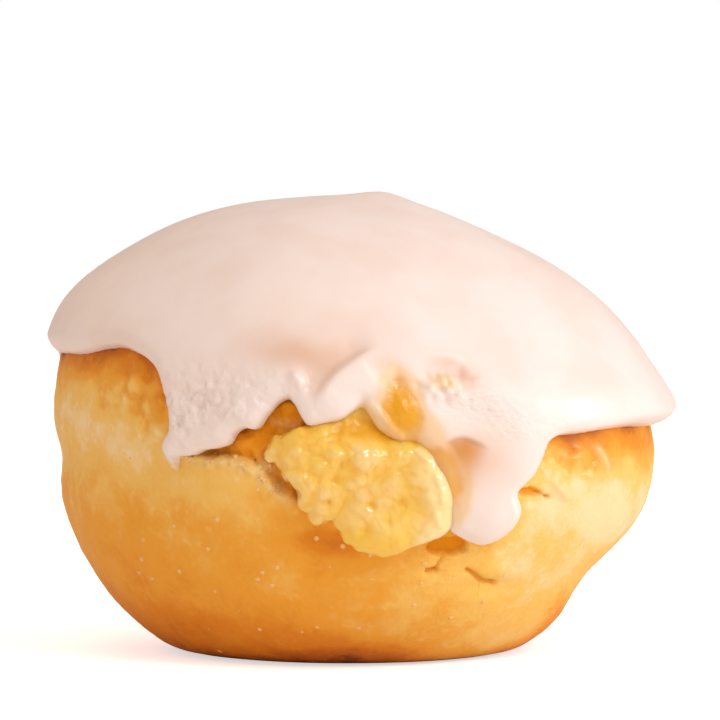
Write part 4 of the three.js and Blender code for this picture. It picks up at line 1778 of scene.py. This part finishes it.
@dataclass
class Grains:
    """Small bits strewn by Geometry Nodes where a mark of a piece is high. Sizes are in millimetres."""

    SEGMENTS = 8
    RINGS = 5

    name: str
    mark: str
    slot: str
    finish: TornCrumb
    density: float
    smallest: float
    largest: float
    flatness: float
    roughen: float
    seed: int
    sockets: dict[str, str] = field(default_factory=dict)

    def tree(self) -> bpy.types.NodeTree:
        """Builds the strewing tree.

        Returns:
            A tree whose inputs are the density, the sizes, the seed and the finish.
        """
        tree = bpy.data.node_groups.new(self.name, "GeometryNodeTree")
        kinds = {
            "Surface": "NodeSocketGeometry", "Density": "NodeSocketFloat", "Smallest": "NodeSocketFloat",
            "Largest": "NodeSocketFloat", "Flatness": "NodeSocketFloat", "Roughen": "NodeSocketFloat",
            "Seed": "NodeSocketInt", "Finish": "NodeSocketMaterial",
        }
        for label, kind in kinds.items():
            socket = tree.interface.new_socket(label, in_out="INPUT", socket_type=kind)
            self.sockets[label] = socket.identifier
        tree.interface.new_socket("Bits", in_out="OUTPUT", socket_type="NodeSocketGeometry")
        given = add_node(tree, "NodeGroupInput").outputs
        inputs = {"Name": self.mark}
        mark = add_node(tree, "GeometryNodeInputNamedAttribute", inputs, data_type="FLOAT").outputs[0]
        inputs = {0: mark, 1: given["Density"]}
        dense = add_node(tree, "ShaderNodeMath", inputs, operation="MULTIPLY").outputs[0]
        inputs = {"Mesh": given["Surface"], "Density": dense, "Seed": given["Seed"]}
        strewn = add_node(tree, "GeometryNodeDistributePointsOnFaces", inputs).outputs
        inputs = {"Segments": self.SEGMENTS, "Rings": self.RINGS, "Radius": 1.0}
        bit = add_node(tree, "GeometryNodeMeshUVSphere", inputs).outputs[0]
        inputs = {2: given["Smallest"], 3: given["Largest"], "Seed": given["Seed"]}
        size = add_node(tree, "FunctionNodeRandomValue", inputs, data_type="FLOAT").outputs[1]
        inputs = {0: size, 1: given["Flatness"]}
        thin = add_node(tree, "ShaderNodeMath", inputs, operation="MULTIPLY").outputs[0]
        scale = add_node(tree, "ShaderNodeCombineXYZ", {"X": size, "Y": size, "Z": thin}).outputs[0]
        inputs = {"Points": strewn["Points"], "Instance": bit, "Rotation": strewn["Rotation"], "Scale": scale}
        placed = add_node(tree, "GeometryNodeInstanceOnPoints", inputs).outputs[0]
        real = add_node(tree, "GeometryNodeRealizeInstances", {"Geometry": placed}).outputs[0]
        inputs = {"Scale": 1 / (self.largest * MM), "Detail": 1.0}
        swirl = add_node(tree, "ShaderNodeTexNoise", inputs).outputs["Color"]
        inputs = {0: swirl, 1: (0.5, 0.5, 0.5)}
        centred = add_node(tree, "ShaderNodeVectorMath", inputs, operation="SUBTRACT").outputs[0]
        inputs = {0: centred, "Scale": given["Roughen"]}
        offset = add_node(tree, "ShaderNodeVectorMath", inputs, operation="SCALE").outputs[0]
        rough = add_node(tree, "GeometryNodeSetPosition", {"Geometry": real, "Offset": offset}).outputs[0]
        smooth = add_node(tree, "GeometryNodeSetShadeSmooth", {"Geometry": rough}).outputs[0]
        inputs = {"Geometry": smooth, "Material": given["Finish"]}
        done = add_node(tree, "GeometryNodeSetMaterial", inputs).outputs[0]
        add_node(tree, "NodeGroupOutput", {0: done})
        return tree

    def build(self, surface: bpy.types.Object) -> bpy.types.Object:
        """Strews the bits over a piece.

        Args:
            surface: the piece that carries them.

        Returns:
            The bits as one plain mesh.
        """
        holder = linked(self.name + "_source", surface.data)
        modifier = holder.modifiers.new(self.name, "NODES")
        modifier.node_group = self.tree()
        values = {
            "Density": self.density / MM**2,
            "Smallest": self.smallest * MM,
            "Largest": self.largest * MM,
            "Flatness": self.flatness,
            "Roughen": self.roughen * MM,
            "Seed": self.seed,
            "Finish": self.finish.material(),
        }
        for label, value in values.items():
            modifier[self.sockets[label]] = value
        graph = bpy.context.evaluated_depsgraph_get()
        mesh = bpy.data.meshes.new_from_object(holder.evaluated_get(graph), depsgraph=graph)
        bpy.data.objects.remove(holder)
        mesh.name = self.name
        return linked(self.name, mesh)

    def dress(self, piece: bpy.types.Object) -> None:
        """Ties the bits to the frame."""
        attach(piece, BODY)


@dataclass(frozen=True)
class Lamp:
    """A square softbox that faces the bun: its place and width in metres, its power and its colour."""

    name: str
    place: tuple[float, float, float]
    size: float
    watts: float
    colour: str


@dataclass
class Studio:
    """Plain pale floor, soft warm light from the right and the camera of the picture. Sizes are in metres."""

    floor_half: float = 4.0
    floor_level: float = -0.00005
    floor_colour: str = "FFFFFF"
    floor_glow: float = 0.6
    sky_colour: str = "FFFFFF"
    ambient_colour: str = "FFE4D4"
    ambient: float = 0.61
    lamps: tuple[Lamp, ...] = (
        Lamp("front_softbox", (0.28, -0.42, 0.36), 0.18, 0.99, "FBFAFF"),
        Lamp("side_window", (0.6, -0.08, 0.2), 0.16, 1.31, "F6F7FF"),
        Lamp("top_softbox", (-0.12, -0.16, 0.6), 0.3, 0.34, "FFFBF4"),
    )
    aim: tuple[float, float, float] = (0.0, 0.0, 0.022)
    eye: tuple[float, float, float] = (0.0, -0.41807, 0.04025)
    look_at: tuple[float, float, float] = (-0.0003, 0.0, 0.0276)
    lens: float = 219.2
    sensor: float = 36.0
    near: float = 0.01

    def floor(self) -> None:
        """Lays the floor."""
        half = self.floor_half
        outline = ((-half, -half), (half, -half), (half, half), (-half, half))
        corners = [(x, y, self.floor_level) for x, y in outline]
        mesh = bpy.data.meshes.new("studio_floor")
        mesh.from_pydata(corners, [], [(0, 1, 2, 3)])
        # White paper sweep: dull and even. Its glow lifts it to the white of the room, without lighting the
        # bun.
        paint = Paint(
            "white_paper_sweep", Base_Color=linear(self.floor_colour), Roughness=0.9, Specular_IOR_Level=0.0,
            Emission_Color=linear(self.floor_colour),
        )
        seen = add_node(paint.tree, "ShaderNodeLightPath").outputs["Is Camera Ray"]
        paint.follow("Emission_Strength", seen, (0.0, self.floor_glow))
        mesh.materials.append(paint.material)
        floor = linked("studio_floor", mesh)

    def light(self) -> None:
        """Sets the room's even light and the softboxes."""
        scene = bpy.context.scene
        scene.view_settings.view_transform = "Standard"
        world = bpy.data.worlds.new("studio_room")
        world.use_nodes = True
        scene.world = world
        tree = world.node_tree
        tree.nodes.clear()
        inputs = {"Color": linear(self.sky_colour), "Strength": 1.0}
        seen = add_node(tree, "ShaderNodeBackground", inputs).outputs[0]
        inputs = {"Color": linear(self.ambient_colour), "Strength": self.ambient}
        lit = add_node(tree, "ShaderNodeBackground", inputs).outputs[0]
        path = add_node(tree, "ShaderNodeLightPath").outputs["Is Camera Ray"]
        mixed = add_node(tree, "ShaderNodeMixShader", {0: path, 1: lit, 2: seen}).outputs[0]
        add_node(tree, "ShaderNodeOutputWorld", {"Surface": mixed})
        for lamp in self.lamps:
            data = bpy.data.lights.new(lamp.name, "AREA")
            data.size = lamp.size
            data.energy = lamp.watts
            data.color = linear(lamp.colour)[:3]
            light = linked(lamp.name, data)
            light.location = lamp.place
            light.rotation_euler = (Vector(self.aim) - light.location).to_track_quat("-Z", "Y").to_euler()

    def camera(self) -> None:
        """Puts the camera where the picture was taken from."""
        data = bpy.data.cameras.new("picture_camera")
        data.lens = self.lens
        data.sensor_width = self.sensor
        data.clip_start = self.near
        camera = linked("picture_camera", data)
        camera.location = self.eye
        camera.rotation_euler = (Vector(self.look_at) - camera.location).to_track_quat("-Z", "Y").to_euler()
        bpy.context.scene.camera = camera

    def build(self) -> None:
        """Sets up floor, light and camera."""
        self.floor()
        self.light()
        self.camera()


def main() -> None:
    """Builds the berliner piece by piece, then the studio."""
    logging.basicConfig(level=logging.INFO, format="%(message)s")
    made: dict[str, bpy.types.Object] = {}
    for part in (Bun(), Icing(), Custard()):
        piece = part.build()
        made[part.slot] = piece
        part.dress(piece)
        LOG.info("%s: %d faces", piece.name, len(piece.data.polygons))
    blistered = TornCrumb("fry_blister", "F9CE8C", "F5BF70")
    strewn = (
        Grains(
            "lip_crumbs", "crumbs", "dough", TornCrumb(),
            density=6.0, smallest=0.09, largest=0.26, flatness=0.4, roughen=0.22, seed=3,
        ),
        Grains(
            "fry_blisters", "blister", "dough", blistered,
            density=0.15, smallest=0.12, largest=0.34, flatness=0.28, roughen=0.1, seed=8,
        ),
    )
    for grains in strewn:
        piece = grains.build(made[grains.slot])
        grains.dress(piece)
        LOG.info("%s: %d faces", piece.name, len(piece.data.polygons))
    Studio().build()


if __name__ == "__main__":
    main()
